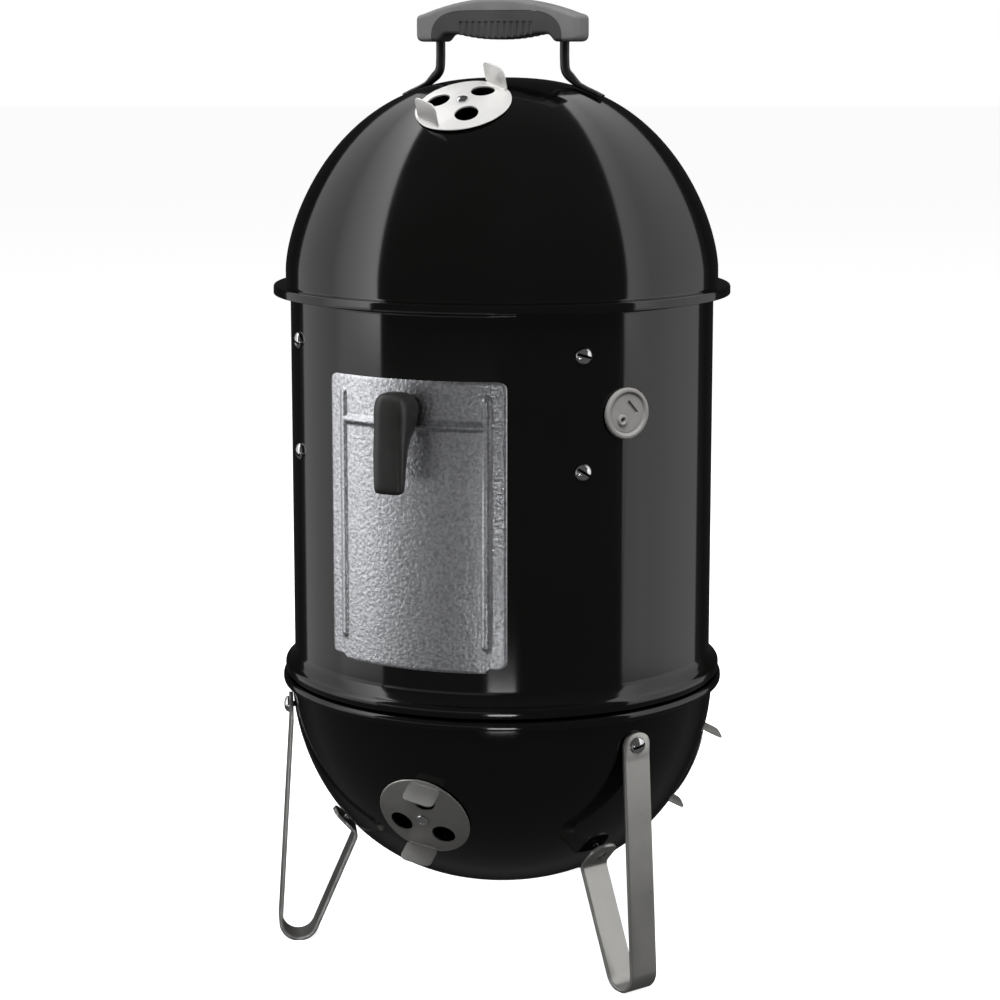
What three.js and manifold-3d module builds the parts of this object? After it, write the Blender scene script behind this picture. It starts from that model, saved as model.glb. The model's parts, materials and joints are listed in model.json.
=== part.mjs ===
// A vertical water smoker: a bowl on three strap legs, a round centre section with a door, and a domed lid.
// Millimetres, +Z up, feet on z = 0. Azimuths are measured from -Y towards +X about the smoker's axis.
import * as THREE from "three";
import { mergeVertices } from "three/addons/utils/BufferGeometryUtils.js";
import Module from "manifold-3d";

const wasm = await Module();
wasm.setup();
const { Manifold } = wasm;

// Driving dimensions.
const GAP = 0.3; // running gap between pieces that touch
const SHEET = 1.2; // enamelled steel sheet of the three shells
const SHELL_SIDES = 36; // facets round the large shells
const THIRD = (2 * Math.PI) / 3;

const bowl = {
  radius: 176.6,
  rise: 168.6, // from the rim line down to the bottom
  sidePower: 2.395,
  polePower: 1.859,
  rimLineZ: 224.5,
  beadRadius: 183.7,
  beadTopZ: 231.5,
};
const centre = {
  radius: 174,
  skirtRadius: 173.4,
  skirtZ: 211,
  beadRadius: 181.7,
  beadZ: 236.8,
  flareZ: 251,
  topZ: 554,
  rollRadius: 183.2,
};
const lid = {
  radius: 177.7,
  rise: 154.5,
  sidePower: 2.48,
  polePower: 1.58,
  springZ: 568.5,
  flangeRadius: 187.8,
  flangeZ: 555.8,
  lipZ: 548.5,
};
const door = {
  azimuth: -0.4224,
  halfWidth: 75.2,
  bottomZ: 271.6,
  topZ: 496,
  lipDrop: 3, // the middle of the bottom edge hangs lower by this much
  lipHalfWidth: 60,
  corner: 7,
  overlap: 9, // how far the door laps over the opening's edge
  thickness: 1.5,
  beadHeight: 1.2,
  beadWidth: 5.5,
  sideBeadX: 61.5,
  crossBeadZ: 461,
  handleZ: 474,
};
const grommet = { azimuth: 0.576, z: 468, flangeRadius: 20, holeRadius: 15 };
const strap = {
  azimuths: [0.358, 1.929, 3.499, -1.213],
  thickness: 2,
  width: 20,
  upperZ: 523,
  lowerZ: 412,
  panZ: 392,
  upperReach: 160,
  lowerReach: 149,
  panReach: 134,
  screwHeights: [514.7, 424.5],
};
const leg = {
  azimuths: { right: 0.637, back: 0.637 + THIRD, left: 0.637 - THIRD },
  thickness: 3.2,
  width: 25.4,
  topZ: 213,
  topRadius: 179.5,
  kneeZ: 191,
  footRadius: 190.8,
  footZ: 20,
  footBend: 17,
  returnRadius: 122,
  upperBoltZ: 203,
  lowerBoltRadius: 129.5,
  tabReach: 13.5,
};
const damper = {
  radius: 38.5,
  dish: 152, // radius of the sphere that the disc is pressed to
  thickness: 1.2,
  holeRadius: 9.5,
  holeCircle: 20.7,
  tabWidth: 26,
  tabHeight: 20.5,
  clearance: 1.4, // between the disc and the shell at the rivet
};
const lidDamper = { azimuth: -0.349, r: 90, spin: -0.576 };
const bowlDamper = {
  azimuths: { front: -0.41, right: -0.41 + THIRD, back: -0.41 - THIRD },
  r: 156,
  spins: { front: -0.244, right: 0.06, back: -0.244 },
};
const screw = { headRadius: 6.7, headHeight: 4, shankRadius: 2.4 };
const nut = { radius: 5.2, height: 4, holeRadius: 2.9 };
const rod = { radius: 3.9, uprightX: 55.2, footX: 88 };
const grip = {
  azimuth: -0.4224, // the handle runs parallel to the door
  halfLength: 72,
  depth: 26,
  topZ: 787,
  endTopZ: 773.6,
  bottomZ: 751.6,
  recessZ: 757.5,
  recessHalf: 48,
  seamTopZ: 776.5,
  insertHalf: 57.5,
};
const ring = { radius: 117, height: 128, thickness: 1.2 };

// Finishes, one per material of the smoker.
const finishes = {
  enamel: { color: 0x100e0c, roughness: 0.16, metalness: 0 },
  aluminium: { color: 0xb9b9b5, roughness: 0.38, metalness: 0.9 },
  embossed: { color: 0xa6a6a2, roughness: 0.42, metalness: 0.9 },
  plated: { color: 0xc4c4c0, roughness: 0.25, metalness: 1 },
  blackRod: { color: 0x121212, roughness: 0.45, metalness: 0.2 },
  gripLight: { color: 0x6e6e6e, roughness: 0.6, metalness: 0 },
  gripDark: { color: 0x4b4b4b, roughness: 0.7, metalness: 0 },
  nylon: { color: 0x161616, roughness: 0.45, metalness: 0 },
  silicone: { color: 0x858381, roughness: 0.7, metalness: 0 },
  wire: { color: 0xbfbfbc, roughness: 0.3, metalness: 1 },
  steel: { color: 0x8d8d8a, roughness: 0.45, metalness: 0.9 },
};

const smoker = new THREE.Group();

// Adds one named piece to the smoker.
function addPiece(name, geometry, finish, matrix = new THREE.Matrix4()) {
  const material = new THREE.MeshStandardMaterial(finishes[finish]);
  const mesh = new THREE.Mesh(geometry, material);
  mesh.name = name;
  mesh.applyMatrix4(matrix);
  smoker.add(mesh);
}

// A closed geometry as a solid that booleans can join and cut.
function solidOf(geometry, matrix = new THREE.Matrix4()) {
  const bare = geometry.clone().applyMatrix4(matrix);
  bare.deleteAttribute("normal");
  bare.deleteAttribute("uv");
  const merged = mergeVertices(bare, 1e-3);
  return new Manifold(
    new wasm.Mesh({
      numProp: 3,
      vertProperties: merged.attributes.position.array,
      triVerts: new Uint32Array(merged.index.array),
    }),
  );
}

// A solid as a geometry for a mesh.
function geometryOf(solid) {
  const mesh = solid.getMesh();
  const geometry = new THREE.BufferGeometry();
  geometry.setAttribute("position", new THREE.BufferAttribute(mesh.vertProperties, 3));
  geometry.setIndex(new THREE.BufferAttribute(mesh.triVerts, 1));
  geometry.computeVertexNormals();
  return geometry;
}

function shapeOf(points) {
  return new THREE.Shape(points.map(([x, y]) => new THREE.Vector2(x, y)));
}

// A profile of [radius, height] points turned about Z. It runs counter-clockwise, axis to the left.
function lathe(profile, sides) {
  const points = profile.map(([r, z]) => new THREE.Vector2(r, z));
  return new THREE.LatheGeometry(points, sides).rotateX(Math.PI / 2);
}

// The same for a profile that closes on itself away from the axis.
function ringLathe(profile, sides) {
  return lathe([...profile, profile[0]], sides);
}

// A cylinder along Z between two heights.
function post(radius, low, high, sides) {
  const cylinder = new THREE.CylinderGeometry(radius, radius, high - low, sides);
  return cylinder.rotateX(Math.PI / 2).translate(0, 0, (low + high) / 2);
}

// A shape's outline in X and Y given a thickness between two heights.
function slab(shape, low, high, curveSegments = 2) {
  const options = { depth: high - low, bevelEnabled: false, curveSegments };
  return new THREE.ExtrudeGeometry(shape, options).translate(0, 0, low);
}

function roundedRectangle(left, bottom, right, top, corner) {
  const quarter = Math.PI / 2;
  const shape = new THREE.Shape();
  shape.absarc(right - corner, top - corner, corner, 0, quarter);
  shape.absarc(left + corner, top - corner, corner, quarter, 2 * quarter);
  shape.absarc(left + corner, bottom + corner, corner, 2 * quarter, 3 * quarter);
  shape.absarc(right - corner, bottom + corner, corner, 3 * quarter, 4 * quarter);
  shape.closePath();
  return shape;
}

// Place of a piece whose own Z points out of the smoker: at a radius and a height, leaning by tilt from +Z.
function seat({ azimuth, r, z, tilt, spin = 0 }) {
  return new THREE.Matrix4()
    .makeRotationZ(azimuth)
    .multiply(new THREE.Matrix4().makeTranslation(0, -r, z))
    .multiply(new THREE.Matrix4().makeRotationX(tilt))
    .multiply(new THREE.Matrix4().makeRotationZ(spin));
}

// Height of a domed shell's surface above its widest line, at a radius.
function domeRise(dome, r) {
  return dome.rise * (1 - (r / dome.radius) ** dome.sidePower) ** (1 / dome.polePower);
}

// Angle of the surface normal from the dome's pole, at a radius.
function domeLean(dome, r) {
  const step = 0.5;
  return Math.atan2(domeRise(dome, r - step) - domeRise(dome, r + step), 2 * step);
}

// Points of a dome from its widest line to the pole, the sheet's inner side being inset by its thickness.
function domeProfile(dome, inset, lineZ, direction) {
  const steps = 7;
  const points = [];
  for (let i = 0; i < steps; i++) {
    const t = (i / steps) * (Math.PI / 2);
    const r = (dome.radius - inset) * Math.cos(t) ** (2 / dome.sidePower);
    const z = lineZ + direction * (dome.rise - inset) * Math.sin(t) ** (2 / dome.polePower);
    points.push([r, z]);
  }
  points.push([0, lineZ + direction * (dome.rise - inset)]);
  return points;
}

const lidSeat = (azimuth, r, spin = 0) =>
  seat({ azimuth, r, z: lid.springZ + domeRise(lid, r), tilt: domeLean(lid, r), spin });

const bowlSeat = (azimuth, r, spin = 0) =>
  seat({ azimuth, r, z: bowl.rimLineZ - domeRise(bowl, r), tilt: Math.PI - domeLean(bowl, r), spin });

const wallSeat = (azimuth, r, z) => seat({ azimuth, r, z, tilt: Math.PI / 2 });

// The outline of a bent strip: a centre line of [r, z] points given a thickness.
function stripOutline(line, thickness) {
  const points = line.map(([r, z]) => new THREE.Vector2(r, z));
  const sides = [[], []];
  points.forEach((point, i) => {
    const before = point.clone().sub(points[Math.max(i - 1, 0)]).normalize();
    const after = points[Math.min(i + 1, points.length - 1)].clone().sub(point).normalize();
    const along = before.add(after).normalize();
    const next = i < points.length - 1 ? after : along;
    const spread = thickness / 2 / Math.max(along.dot(next), 0.3);
    const across = new THREE.Vector2(-along.y, along.x).multiplyScalar(spread);
    sides[0].push(point.clone().sub(across));
    sides[1].push(point.clone().add(across));
  });
  return new THREE.Shape([...sides[0], ...sides[1].reverse()]);
}

// A strip bent in the plane through the smoker's axis that faces -Y.
function bentStrip(line, thickness, width) {
  const basis = new THREE.Matrix4().makeBasis(
    new THREE.Vector3(0, -1, 0),
    new THREE.Vector3(0, 0, 1),
    new THREE.Vector3(-1, 0, 0),
  );
  return slab(stripOutline(line, thickness), -width / 2, width / 2).applyMatrix4(basis);
}

function arcPoints(cx, cz, radius, from, to, steps) {
  return Array.from({ length: steps + 1 }, (_, i) => {
    const angle = from + ((to - from) * i) / steps;
    return [cx + radius * Math.cos(angle), cz + radius * Math.sin(angle)];
  });
}

// The shank, with its round head on top of z = 0.
function roundHeadScrew(length) {
  const { headRadius, headHeight, shankRadius } = screw;
  return lathe(
    [
      [0, -length],
      [shankRadius, -length],
      [shankRadius, 0],
      [headRadius, 0],
      [headRadius, 0.25 * headHeight],
      [0.75 * headRadius, 0.75 * headHeight],
      [0, headHeight],
    ],
    8,
  );
}

// A nut that sits below z = 0.
function hexNut() {
  const hexagon = new THREE.Shape();
  for (let i = 0; i < 6; i++) {
    hexagon.lineTo(nut.radius * Math.cos((i * Math.PI) / 3), nut.radius * Math.sin((i * Math.PI) / 3));
  }
  hexagon.curves.shift();
  hexagon.closePath();
  const hole = new THREE.Path();
  hole.absarc(0, 0, nut.holeRadius, 0, 2 * Math.PI, true);
  hexagon.holes.push(hole);
  return slab(hexagon, -nut.height, 0, 4);
}

// The sphere-pressed disc's height at a radius, its middle being at z = 0.
const dishZ = (r) => Math.sqrt(damper.dish ** 2 - r ** 2) - damper.dish;

// The three air holes of a damper and the shell behind it.
function airHoles(depth) {
  const holes = [0, 1, 2].map((i) => {
    const place = new THREE.Matrix4().makeRotationZ(i * THIRD);
    return solidOf(post(damper.holeRadius, -depth, depth, 7).translate(0, damper.holeCircle, 0), place);
  });
  return Manifold.union(holes);
}

// A dished disc with three holes and two tabs bent up from its edge.
function damperDisc() {
  const rivetHole = 3.3;
  const radii = [rivetHole, 0.55 * damper.radius, damper.radius];
  const profile = [
    ...radii.map((r) => [r, dishZ(r)]),
    ...radii.map((r) => [r, dishZ(r) + damper.thickness]).reverse(),
  ];
  const tabLine = 34.6;
  const tabFoot = dishZ(tabLine) + 0.3;
  const half = damper.tabWidth / 2;
  const outline = roundedRectangle(-half, tabFoot, half, tabFoot + damper.tabHeight, 5);
  const tab = slab(outline, -damper.thickness / 2, damper.thickness / 2).rotateX(Math.PI / 2);
  const tabs = [-1, 1].map((side) => solidOf(tab.clone().translate(0, side * tabLine, 0)));
  const footBlock = new THREE.BoxGeometry(damper.tabWidth, damper.thickness, 6);
  const feet = [-1, 1].map((side) => solidOf(footBlock.clone().translate(0, side * tabLine, tabFoot + 3)));
  const disc = solidOf(ringLathe(profile, 20));
  return geometryOf(Manifold.union([disc, ...tabs, ...feet]).subtract(airHoles(10)));
}

// A rivet through the damper and the shell, with a head on each side.
function damperRivet() {
  const headRadius = 5;
  const shankRadius = 2.9;
  const top = damper.clearance + damper.thickness + GAP;
  const inside = -SHEET - 1.6;
  return lathe(
    [
      [0, inside - 1.8],
      [headRadius, inside - 1],
      [headRadius, inside],
      [shankRadius, inside],
      [shankRadius, top],
      [headRadius, top],
      [headRadius, top + 0.8],
      [0, top + 2],
    ],
    8,
  );
}

// Cuts the air holes and the rivet hole of a damper into a shell.
function cutVent(shell, place) {
  const rivetHole = solidOf(post(3.3, -10, 10, 10), place);
  const air = airHoles(10).transform(place.elements);
  return shell.subtract(air).subtract(rivetHole);
}

function addDamper(name, place) {
  const lifted = place.clone().multiply(new THREE.Matrix4().makeTranslation(0, 0, damper.clearance));
  addPiece(name, damperDisc(), "aluminium", lifted);
  addPiece(name + "_rivet", damperRivet(), "plated", place);
}

// Lid: a deep dome with a flange that laps over the centre section.
function addLid() {
  const inner = lid.radius - SHEET;
  const under = lid.flangeZ - SHEET;
  const profile = [
    ...domeProfile(lid, SHEET, lid.springZ, 1).reverse(),
    [inner, lid.flangeZ + 1.5],
    [inner + 1.5, under],
    [lid.flangeRadius - SHEET - 0.8, under],
    [lid.flangeRadius - SHEET, under - 0.8],
    [lid.flangeRadius - SHEET, lid.lipZ],
    [lid.flangeRadius, lid.lipZ],
    [lid.flangeRadius, lid.flangeZ - 1.6],
    [lid.flangeRadius - 1.6, lid.flangeZ],
    [lid.radius + 1.6, lid.flangeZ],
    [lid.radius, lid.flangeZ + 2],
    ...domeProfile(lid, 0, lid.springZ, 1),
  ];
  const place = lidSeat(lidDamper.azimuth, lidDamper.r, lidDamper.spin);
  const shell = cutVent(solidOf(lathe(profile, SHELL_SIDES)), place);
  addPiece("lid_shell", geometryOf(shell), "enamel");
  addDamper("lid_damper", place);
}

// Centre line of the lid's handle rod: two feet along the dome, two uprights and a bar through the grip.
function rodCurve() {
  const footHeight = (x) => lid.springZ + domeRise(lid, x) + (rod.radius + 0.6) / Math.cos(domeLean(lid, x));
  const half = [
    [rod.footX, footHeight(rod.footX)],
    [75, footHeight(75)],
    [63, footHeight(63) + 0.4],
    [rod.uprightX + 1, 728],
    [rod.uprightX, 736],
    [rod.uprightX, 756],
    [rod.uprightX - 5, 763.5],
    [30, 765],
  ];
  const right = half.map(([x, z]) => new THREE.Vector3(x, 0, z));
  const left = half.map(([x, z]) => new THREE.Vector3(-x, 0, z)).reverse();
  return new THREE.CatmullRomCurve3([...right, ...left]);
}

// The rod's solid at a radius: the rod itself, or the channel that the grip has for it.
function rodSweep(radius) {
  const section = new THREE.Shape().absarc(0, 0, radius, 0, 2 * Math.PI);
  const options = { steps: 36, extrudePath: rodCurve(), curveSegments: 4, bevelEnabled: false };
  return new THREE.ExtrudeGeometry(section, options);
}

// The grip's whole body, arched on top and recessed below between its ends.
function gripBody() {
  const { halfLength, endTopZ, bottomZ, topZ, depth, recessZ, recessHalf } = grip;
  const round = 8;
  const outline = new THREE.Shape();
  outline.moveTo(-halfLength + round, bottomZ);
  outline.lineTo(halfLength - round, bottomZ);
  outline.quadraticCurveTo(halfLength, bottomZ, halfLength, bottomZ + round);
  outline.lineTo(halfLength, endTopZ - round);
  outline.quadraticCurveTo(halfLength, endTopZ, halfLength - round, endTopZ + 0.7);
  outline.quadraticCurveTo(0, 2 * topZ - endTopZ - 0.7, -halfLength + round, endTopZ + 0.7);
  outline.quadraticCurveTo(-halfLength, endTopZ, -halfLength, endTopZ - round);
  outline.lineTo(-halfLength, bottomZ + round);
  outline.quadraticCurveTo(-halfLength, bottomZ, -halfLength + round, bottomZ);
  const bevel = 3;
  const body = new THREE.ExtrudeGeometry(outline, {
    depth: depth - 2 * bevel,
    bevelThickness: bevel,
    bevelSize: bevel,
    bevelOffset: -bevel,
    bevelSegments: 2,
    curveSegments: 5,
  });
  body.translate(0, 0, -depth / 2 + bevel).rotateX(Math.PI / 2);
  const recess = new THREE.BoxGeometry(2 * recessHalf, depth + 2, 20);
  return solidOf(body).subtract(solidOf(recess.translate(0, 0, recessZ - 10)));
}

// The space below the arched seam between the grip's two halves, grown by a margin.
function belowSeam(margin) {
  const half = grip.insertHalf + margin;
  const endZ = grip.bottomZ + 6;
  const topZ = grip.seamTopZ + margin;
  const flatHalf = 26;
  const outline = new THREE.Shape();
  outline.moveTo(-half, grip.bottomZ - 10);
  outline.lineTo(half, grip.bottomZ - 10);
  outline.lineTo(half, endZ);
  outline.quadraticCurveTo(half - 2, topZ, flatHalf, topZ);
  outline.lineTo(-flatHalf, topZ);
  outline.quadraticCurveTo(2 - half, topZ, -half, endZ);
  outline.closePath();
  return solidOf(slab(outline, -grip.depth, grip.depth).rotateX(Math.PI / 2));
}

function addLidHandle() {
  const screwX = 29;
  const screwY = 8;
  const headRadius = 3.6;
  const shankRadius = 1.6;
  const shankTop = 778;
  const body = gripBody().subtract(solidOf(rodSweep(rod.radius + GAP)));
  const holes = [-screwX, screwX].map((x) =>
    solidOf(post(shankRadius + GAP, grip.recessZ - 5, shankTop + GAP, 8).translate(x, screwY, 0)),
  );
  const drilled = body.subtract(Manifold.union(holes));
  const turn = new THREE.Matrix4().makeRotationZ(grip.azimuth);
  addPiece("handle_rod", rodSweep(rod.radius), "blackRod", turn);
  addPiece("grip_shell", geometryOf(drilled.subtract(belowSeam(GAP))), "gripLight", turn);
  addPiece("grip_insert", geometryOf(drilled.intersect(belowSeam(0))), "gripDark", turn);
  const under = grip.recessZ - GAP;
  const gripScrew = lathe(
    [
      [0, under - 2.2],
      [headRadius, under - 1.4],
      [headRadius, under],
      [shankRadius, under],
      [shankRadius, shankTop],
      [0, shankTop],
    ],
    8,
  );
  addPiece("grip_screw_left", gripScrew.clone().translate(-screwX, screwY, 0), "plated", turn);
  addPiece("grip_screw_right", gripScrew.clone().translate(screwX, screwY, 0), "plated", turn);
}

// A piece of a round wall whose outline, in the plane square to an azimuth, is the shape.
function wallPatch(shape, innerRadius, outerRadius, azimuth) {
  const wall = ringLathe(
    [
      [innerRadius, 250],
      [outerRadius, 250],
      [outerRadius, 520],
      [innerRadius, 520],
    ],
    SHELL_SIDES,
  );
  const prism = solidOf(slab(shape, 50, 250), wallSeat(azimuth, 0, 0));
  return solidOf(wall).intersect(prism);
}

function doorOutline() {
  const { halfWidth, bottomZ, topZ, lipDrop, lipHalfWidth, corner } = door;
  const quarter = Math.PI / 2;
  const outline = new THREE.Shape();
  outline.absarc(halfWidth - corner, topZ - corner, corner, 0, quarter);
  outline.absarc(corner - halfWidth, topZ - corner, corner, quarter, 2 * quarter);
  outline.absarc(corner - halfWidth, bottomZ + corner, corner, 2 * quarter, 3 * quarter);
  outline.lineTo(-lipHalfWidth - lipDrop, bottomZ);
  outline.lineTo(-lipHalfWidth, bottomZ - lipDrop);
  outline.lineTo(lipHalfWidth, bottomZ - lipDrop);
  outline.lineTo(lipHalfWidth + lipDrop, bottomZ);
  outline.absarc(halfWidth - corner, bottomZ + corner, corner, 3 * quarter, 4 * quarter);
  outline.closePath();
  return outline;
}

function doorOpening() {
  const { halfWidth, bottomZ, topZ, overlap } = door;
  const side = halfWidth - overlap;
  return roundedRectangle(-side, bottomZ + overlap + 2, side, topZ - overlap, 6);
}

// Centre section: a straight wall, a flared bead that sits on the bowl's rim, and a skirt inside it.
function addCentre() {
  const { radius, skirtRadius, skirtZ, beadRadius, beadZ, flareZ, topZ, rollRadius } = centre;
  const inner = radius - SHEET;
  const profile = [
    [skirtRadius - SHEET, skirtZ],
    [skirtRadius, skirtZ],
    [skirtRadius, beadZ - 5.2],
    [skirtRadius + 3.5, beadZ - 4.8],
    [beadRadius - 0.8, beadZ - 2.4],
    [beadRadius, beadZ],
    [beadRadius - 1, beadZ + 3.2],
    [radius + 3.8, beadZ + 6.9],
    [radius + 0.9, flareZ - 3.4],
    [radius, flareZ + 1.5],
    [radius, topZ - 6.5],
    [rollRadius - 1, topZ - 3],
    [rollRadius, topZ - 1.5],
    [rollRadius - 1, topZ],
    [radius + 1, topZ],
    [inner, topZ - 2.5],
    [inner, flareZ + 1.5],
    [inner + 0.9, flareZ - 3.4],
    [inner + 3.8, beadZ + 6.9],
    [beadRadius - SHEET - 1, beadZ + 3.2],
    [beadRadius - SHEET, beadZ],
    [skirtRadius + 2, beadZ - 3.2],
    [skirtRadius - SHEET, beadZ - 4],
  ];
  const doorway = solidOf(slab(doorOpening(), 100, 250), wallSeat(door.azimuth, 0, 0));
  const probeHole = solidOf(post(grommet.holeRadius, 100, 250, 16), wallSeat(grommet.azimuth, 0, grommet.z));
  const screwHole = post(screw.shankRadius + GAP, 160, 180, 8);
  const screwHoles = strap.azimuths.flatMap((azimuth) =>
    strap.screwHeights.map((z) => solidOf(screwHole, wallSeat(azimuth, 0, z))),
  );
  const wall = solidOf(ringLathe(profile, SHELL_SIDES));
  addPiece("centre_shell", geometryOf(wall.subtract(Manifold.union([doorway, probeHole, ...screwHoles]))), "enamel");
}

// Straps inside the wall that carry both cooking grates and the water pan, each held by two screws.
function addGrateStraps() {
  const wallInside = centre.radius - SHEET;
  const middle = wallInside - 1.2 - strap.thickness / 2;
  const line = [
    [strap.upperReach, strap.upperZ],
    [middle, strap.upperZ],
    [middle, strap.lowerZ],
    [strap.lowerReach, strap.lowerZ],
    [strap.lowerReach, strap.panZ],
    [strap.panReach, strap.panZ],
  ];
  const blank = solidOf(bentStrip(line, strap.thickness, strap.width));
  const holes = strap.screwHeights.map((z) =>
    solidOf(post(screw.shankRadius + GAP, 160, 180, 8), wallSeat(0, 0, z)),
  );
  const geometry = geometryOf(blank.subtract(Manifold.union(holes)));
  const nutFace = middle - strap.thickness / 2 - GAP;
  const headFace = centre.radius + GAP;
  strap.azimuths.forEach((azimuth, i) => {
    addPiece(`grate_strap_${i + 1}`, geometry, "steel", new THREE.Matrix4().makeRotationZ(azimuth));
    strap.screwHeights.forEach((z, row) => {
      const level = ["upper", "lower"][row];
      const length = headFace - nutFace + nut.height + 1;
      addPiece(`strap_screw_${i + 1}_${level}`, roundHeadScrew(length), "plated", wallSeat(azimuth, headFace, z));
      addPiece(`strap_nut_${i + 1}_${level}`, hexNut(), "plated", wallSeat(azimuth, nutFace, z));
    });
  });
}

// The soft plug in the wall that a thermometer probe's lead passes through.
function addGrommet() {
  const { flangeRadius, holeRadius, azimuth, z } = grommet;
  const outside = centre.radius + GAP;
  const inside = centre.radius - SHEET - 2.2;
  const body = lathe(
    [
      [0, inside - 3],
      [flangeRadius - 3, inside - 3],
      [flangeRadius - 2, inside],
      [holeRadius - GAP - 0.2, inside],
      [holeRadius - GAP - 0.2, outside],
      [flangeRadius, outside],
      [flangeRadius, outside + 2.6],
      [flangeRadius - 1, outside + 3.6],
      [flangeRadius - 4, outside + 3.6],
      [flangeRadius - 5.5, outside + 2],
      [0, outside + 2],
    ],
    20,
  );
  const boss = post(5, outside, outside + 4, 8).translate(-6, -5, 0);
  const leadHole = post(1.6, inside - 10, outside + 10, 8).translate(-6, -5, 0);
  const slit = new THREE.BoxGeometry(13, 1, 40).translate(0, 0, outside).rotateZ(-0.7).translate(5, 5, 0);
  const plug = solidOf(body).add(solidOf(boss)).subtract(solidOf(leadHole)).subtract(solidOf(slit));
  addPiece("probe_grommet", geometryOf(plug), "silicone", wallSeat(azimuth, 0, z));
}

// Door: an embossed skin with three raised beads and a shelf lip that reaches in through the opening.
function addDoor() {
  const skinInner = centre.radius + 0.4;
  const skinOuter = skinInner + door.thickness;
  const beadOuter = skinOuter + door.beadHeight;
  const halfBead = door.beadWidth / 2;
  const beadEnds = [door.bottomZ + 12.4, door.topZ - 9];
  const bead = (shape) => wallPatch(shape, skinOuter - 0.2, beadOuter, door.azimuth);
  const sideBead = (x) => bead(roundedRectangle(x - halfBead, beadEnds[0], x + halfBead, beadEnds[1], 2.4));
  const crossBead = bead(
    roundedRectangle(
      -door.sideBeadX,
      door.crossBeadZ - halfBead,
      door.sideBeadX,
      door.crossBeadZ + halfBead,
      2.4,
    ),
  );
  const shelfZ = door.bottomZ + door.overlap + 2 + 1;
  const shelfShape = shapeOf([
    [-door.lipHalfWidth + 4, shelfZ],
    [door.lipHalfWidth - 4, shelfZ],
    [door.lipHalfWidth - 4, shelfZ + door.thickness],
    [-door.lipHalfWidth + 4, shelfZ + door.thickness],
  ]);
  const shelf = wallPatch(shelfShape, centre.radius - 10, skinInner + 0.5, door.azimuth);
  const skin = wallPatch(doorOutline(), skinInner, skinOuter, door.azimuth);
  const spindleHole = solidOf(post(4.2, 160, 190, 12), wallSeat(door.azimuth, 0, door.handleZ));
  const panel = Manifold.union([skin, shelf, sideBead(-door.sideBeadX), sideBead(door.sideBeadX), crossBead]);
  addPiece("door_panel", geometryOf(panel.subtract(spindleHole)), "embossed");
}

// Door handle: a paddle that hangs from a round stem, whose spindle turns the latch lever behind the door.
function addDoorHandle() {
  const place = wallSeat(door.azimuth, centre.radius, door.handleZ);
  const stemFoot = 0.4 + door.thickness + door.beadHeight + GAP;
  const face = 40;
  const bevel = 3;
  const outline = new THREE.Shape();
  outline.moveTo(-10.25, -57);
  outline.quadraticCurveTo(-10, -62, 0, -62);
  outline.quadraticCurveTo(10, -62, 10.25, -57);
  outline.lineTo(12.5, 4);
  outline.quadraticCurveTo(12, 16, 0, 16);
  outline.quadraticCurveTo(-12, 16, -12.5, 4);
  outline.closePath();
  const paddle = new THREE.ExtrudeGeometry(outline, {
    depth: 8,
    bevelThickness: bevel,
    bevelSize: bevel,
    bevelOffset: -bevel,
    bevelSegments: 2,
    curveSegments: 5,
  }).translate(0, 0, face - 8 - bevel);
  const stem = lathe(
    [
      [0, stemFoot],
      [10, stemFoot],
      [8, stemFoot + 8],
      [9, face - bevel - 6],
      [0, face - bevel - 6],
    ],
    16,
  );
  const spindle = post(3.8, -9.5, stemFoot + 2, 12);
  const handle = Manifold.union([solidOf(paddle), solidOf(stem), solidOf(spindle)]);
  addPiece("door_handle", geometryOf(handle), "nylon", place);
  const leverTop = door.topZ - door.overlap - 1 - door.handleZ;
  const lever = roundedRectangle(-9, -9, 9, leverTop, 3);
  const socket = new THREE.Path();
  socket.absarc(0, 0, 4.1, 0, 2 * Math.PI, true);
  lever.holes.push(socket);
  addPiece("latch_lever", slab(lever, -8.4, -6.4, 4), "steel", place);
}

// A round wire grate: a rim, bars across it, and two bearers under them.
function wireGrate(rimRadius, wireRadius, barSpacing) {
  const rim = solidOf(new THREE.TorusGeometry(rimRadius, wireRadius, 5, 24));
  const bar = (offset, z, turn) => {
    const half = Math.sqrt(rimRadius ** 2 - offset ** 2) - 0.4 * wireRadius;
    const wire = post(0.7 * wireRadius, -half, half, 4).rotateX(Math.PI / 2);
    return solidOf(wire.translate(offset, 0, z).rotateZ(turn));
  };
  const wires = [rim];
  const count = Math.floor((rimRadius - wireRadius) / barSpacing);
  for (let i = -count; i <= count; i++) {
    wires.push(bar(i * barSpacing, 0.3 * wireRadius, 0));
  }
  for (const offset of [-0.5 * rimRadius, 0.5 * rimRadius]) {
    wires.push(bar(offset, -0.3 * wireRadius, Math.PI / 2));
  }
  return geometryOf(Manifold.union(wires));
}

// What stands on the straps: two cooking grates and the water pan.
function addCookingGrates() {
  const ledge = strap.thickness / 2 + GAP;
  const upperWire = 3;
  const lowerWire = 2.6;
  const upper = wireGrate(165, upperWire, 38);
  const lower = wireGrate(154.2, lowerWire, 36);
  addPiece("upper_grate", upper.translate(0, 0, strap.upperZ + ledge + upperWire), "wire");
  addPiece("lower_grate", lower.translate(0, 0, strap.lowerZ + ledge + lowerWire), "wire");
  const rimZ = strap.panZ + ledge;
  const depth = 84;
  const pan = lathe(
    [
      [0, rimZ - depth],
      [96, rimZ - depth],
      [108, rimZ - depth + 8],
      [131, rimZ],
      [146, rimZ],
      [146, rimZ + SHEET],
      [130, rimZ + SHEET],
      [107, rimZ - depth + 9],
      [95.5, rimZ - depth + SHEET],
      [0, rimZ - depth + SHEET],
    ],
    28,
  );
  addPiece("water_pan", pan, "enamel");
}

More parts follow.
